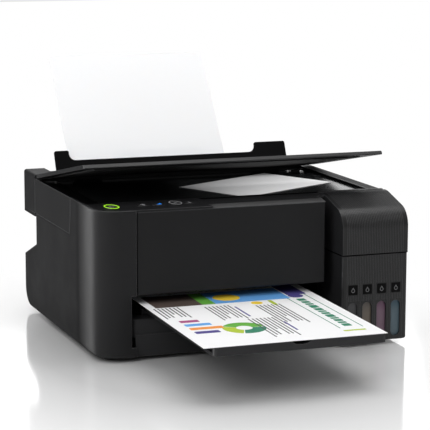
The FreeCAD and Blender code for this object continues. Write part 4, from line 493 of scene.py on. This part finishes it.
def ink_vessel(name, wet, dry, level, fade):
    """A clouded tank: ink shows to a level, with the empty wall above it."""
    made = fresh_material(name)
    nodes = Nodes(made)
    place = nodes.place()
    ripple = nodes.spread(nodes.noise(place, scale=130.0), -INK_RIPPLE, INK_RIPPLE)
    height = nodes.maths("ADD", nodes.axes(place)["Z"], ripple)
    amount = nodes.spread(height, 0.0, 1.0, level - fade, level + fade)
    cloud = nodes.noise(place, scale=300.0, detail=4.0)
    nodes.surface(
        Base_Color=nodes.tones(amount, ((0.0, wet), (1.0, dry))),
        Roughness=nodes.spread(cloud, 0.28, 0.4),
        Specular_IOR_Level=0.5,
        Normal=nodes.relief(cloud, strength=0.1, depth=0.1 * MM, edge=0.5 * MM),
    )
    return made


def circuit(name):
    """Solder mask with the rows of pads on it."""
    made = fresh_material(name)
    nodes = Nodes(made)
    place = nodes.place()
    cells = nodes.add("ShaderNodeTexBrick")
    cells.inputs["Scale"].default_value = 120.0
    cells.inputs["Color1"].default_value = (0.012, 0.09, 0.035, 1)
    cells.inputs["Color2"].default_value = (0.016, 0.11, 0.045, 1)
    cells.inputs["Mortar"].default_value = (0.05, 0.16, 0.08, 1)
    nodes.link(place, cells.inputs["Vector"])
    nodes.surface(
        Base_Color=cells.outputs["Color"],
        Roughness=nodes.spread(nodes.noise(place, scale=80.0), 0.3, 0.45),
    )
    return made


# Mesh helpers


def middle_x(name):
    """The middle, across, of a carried-over piece."""
    low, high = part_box(name)
    return (low.x + high.x) / 2


def in_metres(loop):
    """An outline in metres, from one in millimetres."""
    return [(u * MM, v * MM) for u, v in loop]


def dress(material, *names):
    """Give carried-over pieces a finish."""
    for name in names:
        slots = NODES[name].data.materials
        slots.clear()
        slots.append(material)


def finish_piece(mesh, name, body, material):
    """Link a new mesh as a piece that moves with a body."""
    bmesh.ops.recalc_face_normals(mesh, faces=mesh.faces)
    data = bpy.data.meshes.new(name)
    mesh.to_mesh(data)
    mesh.free()
    data.materials.append(material)
    made = bpy.data.objects.new(name, data)
    bpy.context.scene.collection.objects.link(made)
    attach(made, body)


def prism(mesh, loop, origin, across, up, lift):
    """Add a thin closed plate: a flat outline, in (across, up) metres, raised along the plane's normal."""
    normal = across.cross(up).normalized()
    base = [origin + across * u + up * v for u, v in loop]
    low = [mesh.verts.new(point) for point in base]
    high = [mesh.verts.new(point + normal * lift) for point in base]
    count = len(loop)
    mesh.faces.new(low[::-1])
    mesh.faces.new(high)
    for n in range(count):
        follow = (n + 1) % count
        mesh.faces.new((low[n], low[follow], high[follow], high[n]))


def band(mesh, outer, inner, origin, across, up, lift):
    """Add a thin closed ring between two outlines of equal count."""
    normal = across.cross(up).normalized()
    rings = []
    for loop, rise in ((outer, 0.0), (outer, lift), (inner, lift), (inner, 0.0)):
        rings.append([mesh.verts.new(origin + across * u + up * v + normal * rise) for u, v in loop])
    count = len(outer)
    for ring, follow_ring in zip(rings, rings[1:] + rings[:1]):
        for n in range(count):
            follow = (n + 1) % count
            mesh.faces.new((ring[n], ring[follow], follow_ring[follow], follow_ring[n]))


def circle(u, v, radius, count=40, start=0.0, end=2 * math.pi):
    """Points round a circle, or along an arc with both its ends."""
    whole = abs(end - start) >= 2 * math.pi - 1e-6
    steps = count if whole else count - 1
    angles = [start + (end - start) * n / steps for n in range(count)]
    return [(u + radius * math.cos(angle), v + radius * math.sin(angle)) for angle in angles]


def oblong(u, v, width, height, radius=0.0, count=6):
    """A rectangle about a middle, with rounded corners where a radius is given."""
    if not radius:
        return [
            (u - width / 2, v - height / 2),
            (u + width / 2, v - height / 2),
            (u + width / 2, v + height / 2),
            (u - width / 2, v + height / 2),
        ]
    loop = []
    for n, (side, level) in enumerate(((1, 1), (-1, 1), (-1, -1), (1, -1))):
        middle_u = u + side * (width / 2 - radius)
        middle_v = v + level * (height / 2 - radius)
        start = n * math.pi / 2
        loop += circle(middle_u, middle_v, radius, count, start, start + math.pi / 2)
    return loop


def drop(u, v, radius, count=22):
    """A drop of ink, point upwards."""
    lean = math.radians(34)
    loop = circle(u, v, radius, count, math.pi - lean, 2 * math.pi + lean)
    return loop + [(u, v + radius / math.sin(lean))]


def wedge(u, v, inner, outer, start, end, count=18):
    """A part of a ring, between two angles in degrees."""
    start, end = math.radians(start), math.radians(end)
    return circle(u, v, outer, count, start, end) + circle(u, v, inner, count, end, start)


def rounded_path(points, radii, count=14):
    """A path of straight runs with each inner corner rounded by an arc."""
    path = [Vector(points[0])]
    for before, corner, after, radius in zip(points, points[1:], points[2:], radii):
        back = (before - corner).normalized()
        ahead = (after - corner).normalized()
        half = back.angle(ahead) / 2
        middle = corner + (back + ahead).normalized() * (radius / math.sin(half))
        first = corner + back * (radius / math.tan(half)) - middle
        last = corner + ahead * (radius / math.tan(half)) - middle
        turn = first.angle_signed(last)
        for n in range(count + 1):
            step = first.copy()
            step.rotate(Matrix.Rotation(-turn * n / count, 2))
            path.append(middle + step)
    path.append(Vector(points[-1]))
    return path


def rib_along(mesh, x, width, proud, path):
    """Add one rib that follows a path of (y, z) places, standing out to the path's left."""
    rows = []
    for n, spot in enumerate(path):
        before = path[max(n - 1, 0)]
        after = path[min(n + 1, len(path) - 1)]
        run = (after - before).normalized()
        out = Vector((-run.y, run.x))
        sunk = spot - out * proud
        tip = spot + out * proud
        section = (
            (x - width / 2, sunk.x, sunk.y),
            (x - width / 4, tip.x, tip.y),
            (x + width / 4, tip.x, tip.y),
            (x + width / 2, sunk.x, sunk.y),
        )
        rows.append([mesh.verts.new(corner) for corner in section])
    for row, follow in zip(rows, rows[1:]):
        for n in range(4):
            step = (n + 1) % 4
            mesh.faces.new((row[n], row[step], follow[step], follow[n]))
    mesh.faces.new(rows[0])
    mesh.faces.new(rows[-1][::-1])


# Case


COLUMN_EDGE = 4.0 * MM
COLUMN_BOW = (-62.0 * MM, -130.0 * MM, 0.5)
LEDGE_LEFT = -52.0 * MM
LIP_RUN = 12.6 * MM
SEAM_BELOW, SEAM_ABOVE = 0.5 * MM, 0.7 * MM
FLANK = 0.6 * MM


class PRINTER_OT_case(bpy.types.Operator):
    """Finish the case, the tank shell, the lid, the trays and the feeder"""

    bl_idname = "printer.case"
    bl_label = "Case"

    def execute(self, context):
        finish = context.scene.printer_finish
        # These finishes paint a highlight along every edge, the given number of times paler than the plastic.
        wall = {"colour": finish.case, "roughness": 0.46, "edge_highlight": 8.0}
        case = moulded("case_plastic", specular=0.16, **wall)
        dress(case, "right_housing", "rear_cover", "port_panel", "rear_housing")
        column = moulded("column_plastic", specular=0.2, edge=COLUMN_EDGE, bow=COLUMN_BOW, **wall)
        dress(column, "left_housing")
        guard = moulded("guard_plastic", shade(finish.inside, 0.6), roughness=0.46, specular=0.08, edge_highlight=4.0)
        dress(guard, "feeder_guard")

        front = {"colour": finish.panel, "roughness": 0.4, "specular": 0.22, "edge_highlight": 8.0}
        lip = (LEDGE_LEFT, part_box("control_panel")[0].y + LIP_RUN)
        dress(moulded("strip_plastic", lip=lip, **front), "control_panel")
        # The front panel's ends are painted dark, as painted shade in the gaps at its sides.
        ends = [corner.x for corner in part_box("front_panel")]
        dress(moulded("panel_plastic", ends=ends, **front), "front_panel")

        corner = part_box("tank_cover")[0]
        # A dark line is painted under the tank cover's edge, as painted shade in the joint's gap.
        shaded_seam = (corner.z - SEAM_BELOW, corner.z + SEAM_ABOVE)
        # The tank shell's left face is painted paler, as painted light on a side in shade.
        tank = moulded(
            "tank_case_plastic", finish.tank_case, specular=0.54, edge_highlight=10.0, shaded_seam=shaded_seam, side=corner.x
        )
        dress(tank, "tank_housing", "tank_cover")

        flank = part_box("scanner_unit")[0].x + FLANK
        dress(bed_moulding("bed_plastic", finish.case, finish.bed, flank), "scanner_unit")
        dress(platen_glass("bed_glass"), "scanner_glass")
        dress(moulded("lid_plastic", finish.lid, specular=0.26, edge_highlight=2.6), "document_lid")
        tray = moulded("tray_plastic", shade(finish.case, 1.9), roughness=0.45, specular=0.2, edge_highlight=3.0)
        dress(tray, "output_tray", "base_tray", "paper_support", "edge_guide")
        key = moulded("key_plastic", finish.key, roughness=0.3, depth=0.03 * MM, edge=0.3 * MM)
        dress(key, *(f"{name}_button" for name in KEYS))
        dress(soft_rubber("foot_rubber", finish.rubber), "rubber_feet")
        return {"FINISHED"}


# Works


class PRINTER_OT_works(bpy.types.Operator):
    """Finish the print engine, the scanner's works, the electrics and the sockets"""

    bl_idname = "printer.works"
    bl_label = "Works"

    def execute(self, context):
        finish = context.scene.printer_finish
        steel = brushed("plated_steel", finish.steel)
        dress(steel, "main_frame", "guide_rod", "scan_rail", "case_screws", "usb_port", "drive_motors")
        dress(brushed("head_steel", shade(finish.steel, 0.7)), "print_head")
        natural = moulded(
            "gear_plastic", finish.natural, roughness=0.35, specular=0.5, edge=0.2 * MM, uneven=0.04
        )
        dress(natural, "idler_gear", "motor_pinion", "drive_pulley", "idler_pulley")
        rubber = soft_rubber("roller_rubber", finish.rubber)
        dress(rubber, "feed_roller", "exit_roller", "pickup_roller", "timing_belt")
        inside = moulded("inner_plastic", finish.inside, roughness=0.5, specular=0.35)
        dress(inside, "platen", "paper_guide", "print_carriage", "capping_station", "scan_carriage")
        dress(inside, "ac_inlet", "power_supply")
        dress(circuit("board_mask"), "main_board")
        dress(paper_stock("pad_felt", (0.7, 0.69, 0.65)), "waste_ink_pad")
        # The lid's mat is painted near-black, as painted shade under the open lid.
        dress(paper_stock("shaded_mat_foam", (0.012, 0.012, 0.012)), "lid_mat")
        tube = moulded("tube_plastic", (0.55, 0.55, 0.54), roughness=0.25, specular=0.5, uneven=0.05)
        dress(tube, "ink_tubes")
        return {"FINISHED"}


# Tanks


# Each vessel's colour where it is wet, and above the ink.
VESSELS = {
    "black": ((0.055, 0.055, 0.058), (0.07, 0.07, 0.073)),
    "yellow": ((0.15, 0.125, 0.1), (0.12, 0.105, 0.09)),
    "magenta": ((0.17, 0.105, 0.145), (0.14, 0.07, 0.115)),
    "cyan": ((0.085, 0.125, 0.15), (0.05, 0.095, 0.125)),
}
INK_LEVEL, INK_BLUR = 44.0 * MM, 4.0 * MM
LABEL_MIDDLE = 68.3 * MM
LABEL_CORNER = 0.8 * MM
LABEL_SUNK, LABEL_THICK = 0.3 * MM, 0.7 * MM
DROP_PROUD = 0.35 * MM
DROP_SHARE, DROP_HOLLOW, DROP_FALL = 0.2, 0.62, 0.4
SIGN_THICK = 0.12 * MM


class PRINTER_OT_tanks(bpy.types.Operator):
    """Colour the tanks and caps, and add the square labels over the windows"""

    bl_idname = "printer.tanks"
    bl_label = "Tanks"

    def execute(self, context):
        finish = context.scene.printer_finish
        size = context.scene.printer_detail.label_size
        plate = moulded(
            "label_gloss", (0.0012, 0.0012, 0.0013), roughness=0.4, specular=0.1, depth=0.01 * MM, uneven=0.2
        )
        mark = printed_ink("label_mark", shade(finish.mark, 0.5))
        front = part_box("tank_housing")[0].y
        radius = size * DROP_SHARE
        outer = drop(0, -radius * DROP_FALL, radius)
        inner = drop(0, -radius * DROP_FALL, radius * DROP_HOLLOW)
        for ink in INKS:
            wet, dry = VESSELS[ink]
            dress(ink_vessel(f"vessel_{ink}", wet, dry, INK_LEVEL, INK_BLUR), f"ink_tank_{ink}")
            cap = moulded(f"cap_{ink}", shade(wet, 0.8), roughness=0.4, edge=0.3 * MM)
            dress(cap, f"filler_cap_{ink}")
            middle = Vector((middle_x(f"ink_tank_{ink}"), front, LABEL_MIDDLE))
            mesh = bmesh.new()
            square = oblong(0, 0, size, size, LABEL_CORNER)
            prism(mesh, square, middle + REARWARD * LABEL_SUNK, ACROSS, UPWARD, LABEL_THICK)
            finish_piece(mesh, f"label_{ink}", "case", plate)
            mesh = bmesh.new()
            band(mesh, outer, inner, middle - REARWARD * DROP_PROUD, ACROSS, UPWARD, SIGN_THICK)
            finish_piece(mesh, f"label_drop_{ink}", "case", mark)
        return {"FINISHED"}


# Ribs


COVER_PATH_MM = ((-173.5, 110.7), (-173.5, 158.5), (-115.0, 174.8), (-107.5, 174.8))
COVER_RADII_MM = (24.0, 45.0)
RIB_MARGIN = 8.0 * MM
RIB_FOOT, RIB_TOP = 9.0 * MM, 108.6 * MM
LABEL_FOOT, LABEL_TOP, LABEL_MARGIN = 61.3 * MM, 75.3 * MM, 0.9 * MM
WINDOW_TOP, WINDOW_HALF = 54.5 * MM, 7.2 * MM


class PRINTER_OT_ribs(bpy.types.Operator):
    """Add the fine upright ribs on the front of the tank shell and over its cover"""

    bl_idname = "printer.ribs"
    bl_label = "Ribs"

    def execute(self, context):
        detail = context.scene.printer_detail
        finish = context.scene.printer_finish
        # The ribs are the tank plastic painted 2.6 times paler, as a painted highlight on them.
        lit_ribs = moulded("lit_rib_plastic", shade(finish.tank_case, 2.6), roughness=0.4, specular=0.85)
        low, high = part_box("tank_housing")
        count = int((high.x - low.x - RIB_MARGIN) / detail.rib_pitch)
        start = middle_x("tank_housing") - detail.rib_pitch * (count - 1) / 2
        centres = [middle_x(f"ink_tank_{ink}") for ink in INKS]
        cover_path = [Vector((y * MM, z * MM)) for y, z in COVER_PATH_MM]
        cover_path = rounded_path(cover_path, [radius * MM for radius in COVER_RADII_MM])
        half_label = detail.label_size / 2 + LABEL_MARGIN
        lower = bmesh.new()
        upper = bmesh.new()
        for n in range(count):
            x = start + detail.rib_pitch * n
            off = min(abs(x - centre) for centre in centres)
            foot = WINDOW_TOP if off < WINDOW_HALF else RIB_FOOT
            spans = [(foot, RIB_TOP)]
            if off < half_label:
                spans = [(foot, LABEL_FOOT), (LABEL_TOP, RIB_TOP)]
            for span in spans:
                run = [Vector((low.y, height)) for height in span]
                rib_along(lower, x, detail.rib_width, detail.rib_proud, run)
            rib_along(upper, x, detail.rib_width, detail.rib_proud, cover_path)
        finish_piece(lower, "tank_ribs", "case", lit_ribs)
        finish_piece(upper, "cover_ribs", "cover", lit_ribs)
        return {"FINISHED"}


# Controls


OVAL = 1.8
KEY_FLANGE = 1.2 * MM
KEY_ROOM = 0.35 * MM
SUNK = 0.02 * MM
BEZEL_PROUD = 0.15 * MM
RING_THICK = 0.3 * MM
RING_POINTS = 64


def top_of(key):
    """The middle of a button's top."""
    low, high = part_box(f"{key}_button")
    return Vector(((low.x + high.x) / 2, (low.y + high.y) / 2, high.z - SUNK))


def bezel(key, radius, line, ring, foot):
    """An oval bezel on the strip whose lip overlaps the key's rim, with a coloured line along the lip."""
    low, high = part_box(f"{key}_button")
    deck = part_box("control_panel")[1].z
    hole = (high.x - low.x) / 2 - KEY_FLANGE + KEY_ROOM
    outer = [(u, v * OVAL) for u, v in circle(0, 0, radius, RING_POINTS)]
    inner = [(u, v * OVAL) for u, v in circle(0, 0, radius - line, RING_POINTS)]
    middle = top_of(key)
    middle.z = deck - SUNK
    rise = high.z - deck + BEZEL_PROUD
    mesh = bmesh.new()
    band(mesh, outer, circle(0, 0, hole, RING_POINTS), middle, ACROSS, REARWARD, rise)
    finish_piece(mesh, f"{key}_bezel", "case", foot)
    middle.z += rise
    mesh = bmesh.new()
    band(mesh, outer, inner, middle, ACROSS, REARWARD, RING_THICK)
    finish_piece(mesh, f"{key}_ring", "case", ring)


def sign(name, key, ink, *loops):
    """Flat outlines, in millimetres, raised on a button's top and drawn as tall as the bezels."""
    mesh = bmesh.new()
    for loop in loops:
        prism(mesh, in_metres(loop), top_of(key), ACROSS, REARWARD * OVAL, SIGN_THICK)
    finish_piece(mesh, name, f"key_{key}", ink)


class PRINTER_OT_controls(bpy.types.Operator):
    """Add the bezels, the power ring, the lit indicator and the plain symbols on the buttons"""

    bl_idname = "printer.controls"
    bl_label = "Controls"

    def execute(self, context):
        finish = context.scene.printer_finish
        detail = context.scene.printer_detail
        mark = printed_ink("strip_mark", finish.mark)
        foot = moulded("bezel_plastic", finish.key, roughness=0.4, specular=0.2, edge=0.2 * MM)
        glow = lit("ring_glow", finish.ring, 0.95)
        bezel("power", detail.ring_radius, detail.ring_width, glow, foot)
        bezel("copy", detail.copy_radius, detail.copy_width, mark, foot)
        sign("power_mark", "power", mark, wedge(0, 0, 2.1, 2.8, 128, 412, 24), oblong(0, 2.1, 0.7, 2.8))
        arcs = [wedge(0, -1.9, inner, inner + 0.6, 45, 135) for inner in (1.1, 2.3, 3.5)]
        sign("wireless_mark", "wireless", mark, *arcs, circle(0, -1.9, 0.7, 16))
        lamp = lit("lamp_glow", finish.lamp, 0.8)
        sign("network_lamp", "network", lamp, ((-2.6, -1.8), (3.6, -1.8), (3.6, 2.2)))
        sign("copy_mark", "copy", mark, oblong(0, 0, 3.4, 1.8, 0.6, 5))
        sign("stop_mark", "stop", mark, ((-1.6, -1.3), (1.6, -1.3), (0, 1.7)))
        return {"FINISHED"}


# Papers


PRINT_COLOURS = {
    "teal": (0.0, 0.2, 0.1),
    "lime": (0.42, 0.55, 0.01),
    "leaf": (0.1, 0.4, 0.02),
    "sky": (0.1, 0.36, 0.78),
    "indigo": (0.05, 0.035, 0.24),
    "plum": (0.38, 0.05, 0.2),
    "orange": (0.85, 0.28, 0.03),
    "sun": (0.9, 0.62, 0.02),
    "soil": (0.06, 0.035, 0.025),
    "grey": (0.05, 0.05, 0.055),
}
TITLE_MM = (11, 7, 9, 6, 12, 8, 6, 10, 13, 7, 9, 11)
TITLE_START_MM, TITLE_GAP_MM = 43, 2.6
# Each block of text: its first line's place across, its start along the sheet, and its length.
TEXT_MM = ((92, 142, 66), (150, 118, 92), (118, 64, 84), (34, 158, 50))
TEXT_PITCH_MM, TEXT_WIDTH_MM = 4.6, 1.6
PAGE_SLOPE = math.radians(0.95)
PAGE_THICK = 0.25 * MM
PRINT_SUNK = 0.01 * MM
PRINT_STEP = 0.002 * MM
# The painted shade across the original: its turn from X, where it starts and ends, and its shaded and pale
# tones.
ORIGINAL_TURN = math.radians(-21)
ORIGINAL_FROM, ORIGINAL_TO = -20.0 * MM, 140.0 * MM
ORIGINAL_SHADE, ORIGINAL_PALE = (0.2, 0.2, 0.203), (0.92, 0.92, 0.925)


def page_shapes(lines):
    """The printed design as (colour, outline) pairs: u across the sheet and v along it, in millimetres."""
    shapes = []

    def add(colour, loop):
        shapes.append((colour, loop))

    # a title of plain blocks, with a rule on either side and a bar at its foot
    start = TITLE_START_MM
    for length in TITLE_MM:
        add("teal", oblong(183, start + length / 2, 10, length, 1.5))
        start += length + TITLE_GAP_MM
    add("teal", oblong(197, 120, 1.2, 168))
    add("teal", oblong(170, 120, 1.2, 168))
    add("lime", oblong(182, 24, 26, 5))
    # a picture of plain bands and discs at the far end
    add("sky", oblong(128, 214, 92, 56))
    add("soil", oblong(38, 214, 56, 56))
    add("leaf", oblong(74, 214, 16, 56))
    add("sun", circle(104, 212, 16, 36))
    add("indigo", oblong(188, 228, 24, 52))
    add("indigo", circle(184, 196, 9, 30))
    # a ring chart in greens
    for start, end, colour in ((2, 148, "leaf"), (152, 248, "lime"), (252, 358, "teal")):
        add(colour, wedge(72, 70, 9, 24, start, end, 24))
    # four columns of a bar chart
    for n, (colour, height) in enumerate((("plum", 22), ("sky", 30), ("orange", 38), ("indigo", 28))):
        add(colour, oblong(14 + height / 2, 116 - 17 * n, height, 10, 1.5))
    # a disc and a bar beside the text
    add("sun", circle(128, 176, 7, 28))
    add("lime", oblong(146, 172, 5, 24, 2))
    # blocks of grey lines of uneven length, two of them with a heading
    for across, along, length in TEXT_MM:
        for n in range(lines):
            short = length * (0.62 if n % 4 == 3 else 0.93 + 0.07 * math.cos(n * 2.1))
            middle = along + (length - short) / 2
            add("grey", oblong(across - n * TEXT_PITCH_MM, middle, TEXT_WIDTH_MM, short))
    add("indigo", oblong(97.5, 142, 2.2, 48))
    add("indigo", oblong(123.5, 64, 2.2, 40))
    return shapes


class PRINTER_OT_papers(bpy.types.Operator):
    """Finish the loaded sheet and the original, and print a plain design on the page"""

    bl_idname = "printer.papers"
    bl_label = "Papers"

    def execute(self, context):
        finish = context.scene.printer_finish
        detail = context.scene.printer_detail
        dress(paper_stock("plain_paper", shade(finish.paper, 1.12), see_through=0.1), "blank_sheet")
        dress(paper_stock("page_paper", finish.paper), "printed_page")
        # The original is painted grey at one side, fading to white, as painted shade under the open lid.
        original = shade_faded_sheet(
            "original_shaded", ORIGINAL_SHADE, ORIGINAL_PALE, ORIGINAL_TURN, ORIGINAL_FROM, ORIGINAL_TO
        )
        dress(original, "original_sheet")
        along = Vector((0, math.cos(PAGE_SLOPE), math.sin(PAGE_SLOPE)))
        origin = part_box("printed_page")[0] + ACROSS.cross(along) * (PAGE_THICK - PRINT_SUNK)
        meshes = {}
        for n, (colour, loop) in enumerate(page_shapes(detail.text_lines)):
            if colour not in meshes:
                meshes[colour] = bmesh.new()
            prism(meshes[colour], in_metres(loop), origin, ACROSS, along, detail.print_lift + PRINT_STEP * n)
        for colour, mesh in meshes.items():
            ink = printed_ink(f"print_{colour}", PRINT_COLOURS[colour])
            finish_piece(mesh, f"page_{colour}", "page", ink)
        return {"FINISHED"}


# Stage


AIM = Vector((0.009081, 0.0, 0.13621))
# Each lamp round the printer: its name, place, size and power in watts.
LAMPS = (
    ("key_lamp", (-1.5, -1.5, 1.5), (1.3, 1.3), 20.0),
    ("top_lamp", (0.2, 0.1, 2.4), (2.0, 2.0), 34.0),
    ("side_lamp", (2.2, -1.0, 1.2), (1.2, 1.2), 9.0),
    ("back_lamp", (0.6, 2.4, 1.5), (1.8, 1.8), 22.0),
)
# The strip gives highlights only.
STRIP_LAMP = ("strip_lamp", (-1.7, 0.3, 0.25), (1.0, 1.4), 58.0)
# The lamps under the open lid shine straight down on the original.
LID_LAMPS = (
    ("bed_lamp", (0.08, -0.048, 0.1945), (0.22, 0.09), 0.055),
    ("lid_lamp", (0.08, 0.028, 0.183), (0.22, 0.068), 0.038),
)
AMBIENT = 0.5
FLOOR_DROP = 0.2 * MM


class PRINTER_OT_stage(bpy.types.Operator):
    """Set the pale floor, the soft lamps, the white surround and the camera"""

    bl_idname = "printer.stage"
    bl_label = "Stage"

    def execute(self, context):
        scene = context.scene
        stage = scene.printer_stage
        scene.view_settings.view_transform = "Standard"
        self.surround(scene)
        self.floor(scene, stage.floor_size / 2)
        for lamp in LAMPS:
            self.lamp(scene, AIM, *lamp)
        self.lamp(scene, AIM, *STRIP_LAMP).visible_diffuse = False
        for name, spot, size, power in LID_LAMPS:
            made = self.lamp(scene, Vector((*spot[:2], 0.0)), name, spot, size, power)
            made.visible_camera = False
            made.visible_glossy = False
        self.camera(scene, stage)
        return {"FINISHED"}

    def surround(self, scene):
        """White where it is seen, even on plain surfaces, and brighter to the rear where it is reflected."""
        world = bpy.data.worlds.new("surround")
        scene.world = world
        world.use_nodes = True
        world.node_tree.nodes.clear()
        nodes = Nodes(world)
        path = nodes.add("ShaderNodeLightPath").outputs
        seen = nodes.maths("MAXIMUM", path["Is Camera Ray"], path["Is Transmission Ray"])
        way = nodes.axes(nodes.add("ShaderNodeTexCoord").outputs["Generated"])
        level = nodes.add("ShaderNodeMix", data_type="FLOAT")
        level.inputs["A"].default_value = AMBIENT
        nodes.link(path["Is Glossy Ray"], level.inputs["Factor"])
        nodes.link(nodes.spread(way["Y"], 0.2, 1.15, start=0.2, end=0.9), level.inputs["B"])
        light = nodes.add("ShaderNodeBackground")
        nodes.link(nodes.maths("MAXIMUM", seen, level.outputs["Result"]), light.inputs["Strength"])
        nodes.show(light.outputs["Background"], "ShaderNodeOutputWorld")

    def floor(self, scene, half):
        mesh = bmesh.new()
        corners = ((-half, -half), (half, -half), (half, half), (-half, half))
        mesh.faces.new([mesh.verts.new((x, y, -FLOOR_DROP)) for x, y in corners])
        data = bpy.data.meshes.new("floor")
        mesh.to_mesh(data)
        mesh.free()
        data.materials.append(self.floor_finish())
        made = bpy.data.objects.new("floor", data)
        scene.collection.objects.link(made)

    def floor_finish(self):
        """Polished white that passes into the surround, over an oval about the printer."""
        made = fresh_material("floor_white")
        nodes = Nodes(made)
        place = nodes.place()
        oval = nodes.add("ShaderNodeMapping")
        oval.inputs["Location"].default_value = (0.065, 0.12, 0.0)
        oval.inputs["Scale"].default_value = (1.3, 1.0, 1.0)
        nodes.link(place, oval.inputs["Vector"])
        apart = nodes.vectors("LENGTH", oval.outputs["Vector"], output="Value")
        far = nodes.spread(apart, 0.0, 1.0, start=0.25, end=0.55)
        scuff = nodes.noise(place, scale=5.0)
        gloss = nodes.add("ShaderNodeBsdfPrincipled")
        tone = nodes.tones(scuff, ((0.3, (0.8, 0.8, 0.803)), (0.7, (0.83, 0.83, 0.833))))
        nodes.link(tone, gloss.inputs["Base Color"])
        gloss.inputs["Roughness"].default_value = 0.11
        gloss.inputs["IOR"].default_value = 2.6
        seen = nodes.add("ShaderNodeLightPath").outputs["Is Camera Ray"]
        blend = nodes.add("ShaderNodeMixShader")
        nodes.link(nodes.maths("MULTIPLY", far, seen), blend.inputs["Fac"])
        nodes.link(gloss.outputs["BSDF"], blend.inputs[1])
        nodes.link(nodes.add("ShaderNodeEmission").outputs["Emission"], blend.inputs[2])
        nodes.show(blend.outputs["Shader"])
        return made

    def lamp(self, scene, target, name, spot, size, power):
        light = bpy.data.lights.new(name, "AREA")
        light.shape = "RECTANGLE"
        light.size, light.size_y = size
        light.energy = power
        made = bpy.data.objects.new(name, light)
        made.location = spot
        made.rotation_euler = (target - Vector(spot)).to_track_quat("-Z", "Y").to_euler()
        scene.collection.objects.link(made)
        return made

    def camera(self, scene, stage):
        lens = bpy.data.cameras.new("camera")
        lens.sensor_width = 36.0
        lens.sensor_fit = "HORIZONTAL"
        lens.lens = stage.lens
        lens.clip_end = 50.0
        made = bpy.data.objects.new("camera", lens)
        level = math.cos(stage.elevation)
        aside, ahead = math.sin(stage.azimuth) * level, math.cos(stage.azimuth) * level
        back = Vector((-aside, -ahead, math.sin(stage.elevation)))
        made.location = AIM + back * stage.distance
        turn = (-back).to_track_quat("-Z", "Y").to_matrix() @ Matrix.Rotation(stage.roll, 3, "Z")
        made.rotation_euler = turn.to_euler()
        scene.collection.objects.link(made)
        scene.camera = made


STEPS = ("case", "works", "tanks", "ribs", "controls", "papers", "stage")


class PRINTER_PT_looks(bpy.types.Panel):
    """Lists the printer's looks in the sidebar"""

    bl_idname = "PRINTER_PT_looks"
    bl_label = "Printer"
    bl_space_type = "VIEW_3D"
    bl_region_type = "UI"
    bl_category = "Printer"

    def draw(self, context):
        column = self.layout.column()
        for step in STEPS:
            column.operator(f"printer.{step}")
        scene = context.scene
        for group in (scene.printer_finish, scene.printer_detail, scene.printer_stage):
            for name in group.bl_rna.properties.keys():
                if name not in ("rna_type", "name"):
                    column.prop(group, name)


CLASSES = (
    PrinterFinish,
    PrinterDetail,
    PrinterStage,
    PRINTER_OT_case,
    PRINTER_OT_works,
    PRINTER_OT_tanks,
    PRINTER_OT_ribs,
    PRINTER_OT_controls,
    PRINTER_OT_papers,
    PRINTER_OT_stage,
    PRINTER_PT_looks,
)


def register():
    for made in CLASSES:
        bpy.utils.register_class(made)
    bpy.types.Scene.printer_finish = PointerProperty(type=PrinterFinish)
    bpy.types.Scene.printer_detail = PointerProperty(type=PrinterDetail)
    bpy.types.Scene.printer_stage = PointerProperty(type=PrinterStage)


def unregister():
    del bpy.types.Scene.printer_stage
    del bpy.types.Scene.printer_detail
    del bpy.types.Scene.printer_finish
    for made in reversed(CLASSES):
        bpy.utils.unregister_class(made)


def main():
    register()
    for step in STEPS:
        getattr(bpy.ops.printer, step)()


if __name__ == "__main__":
    main()
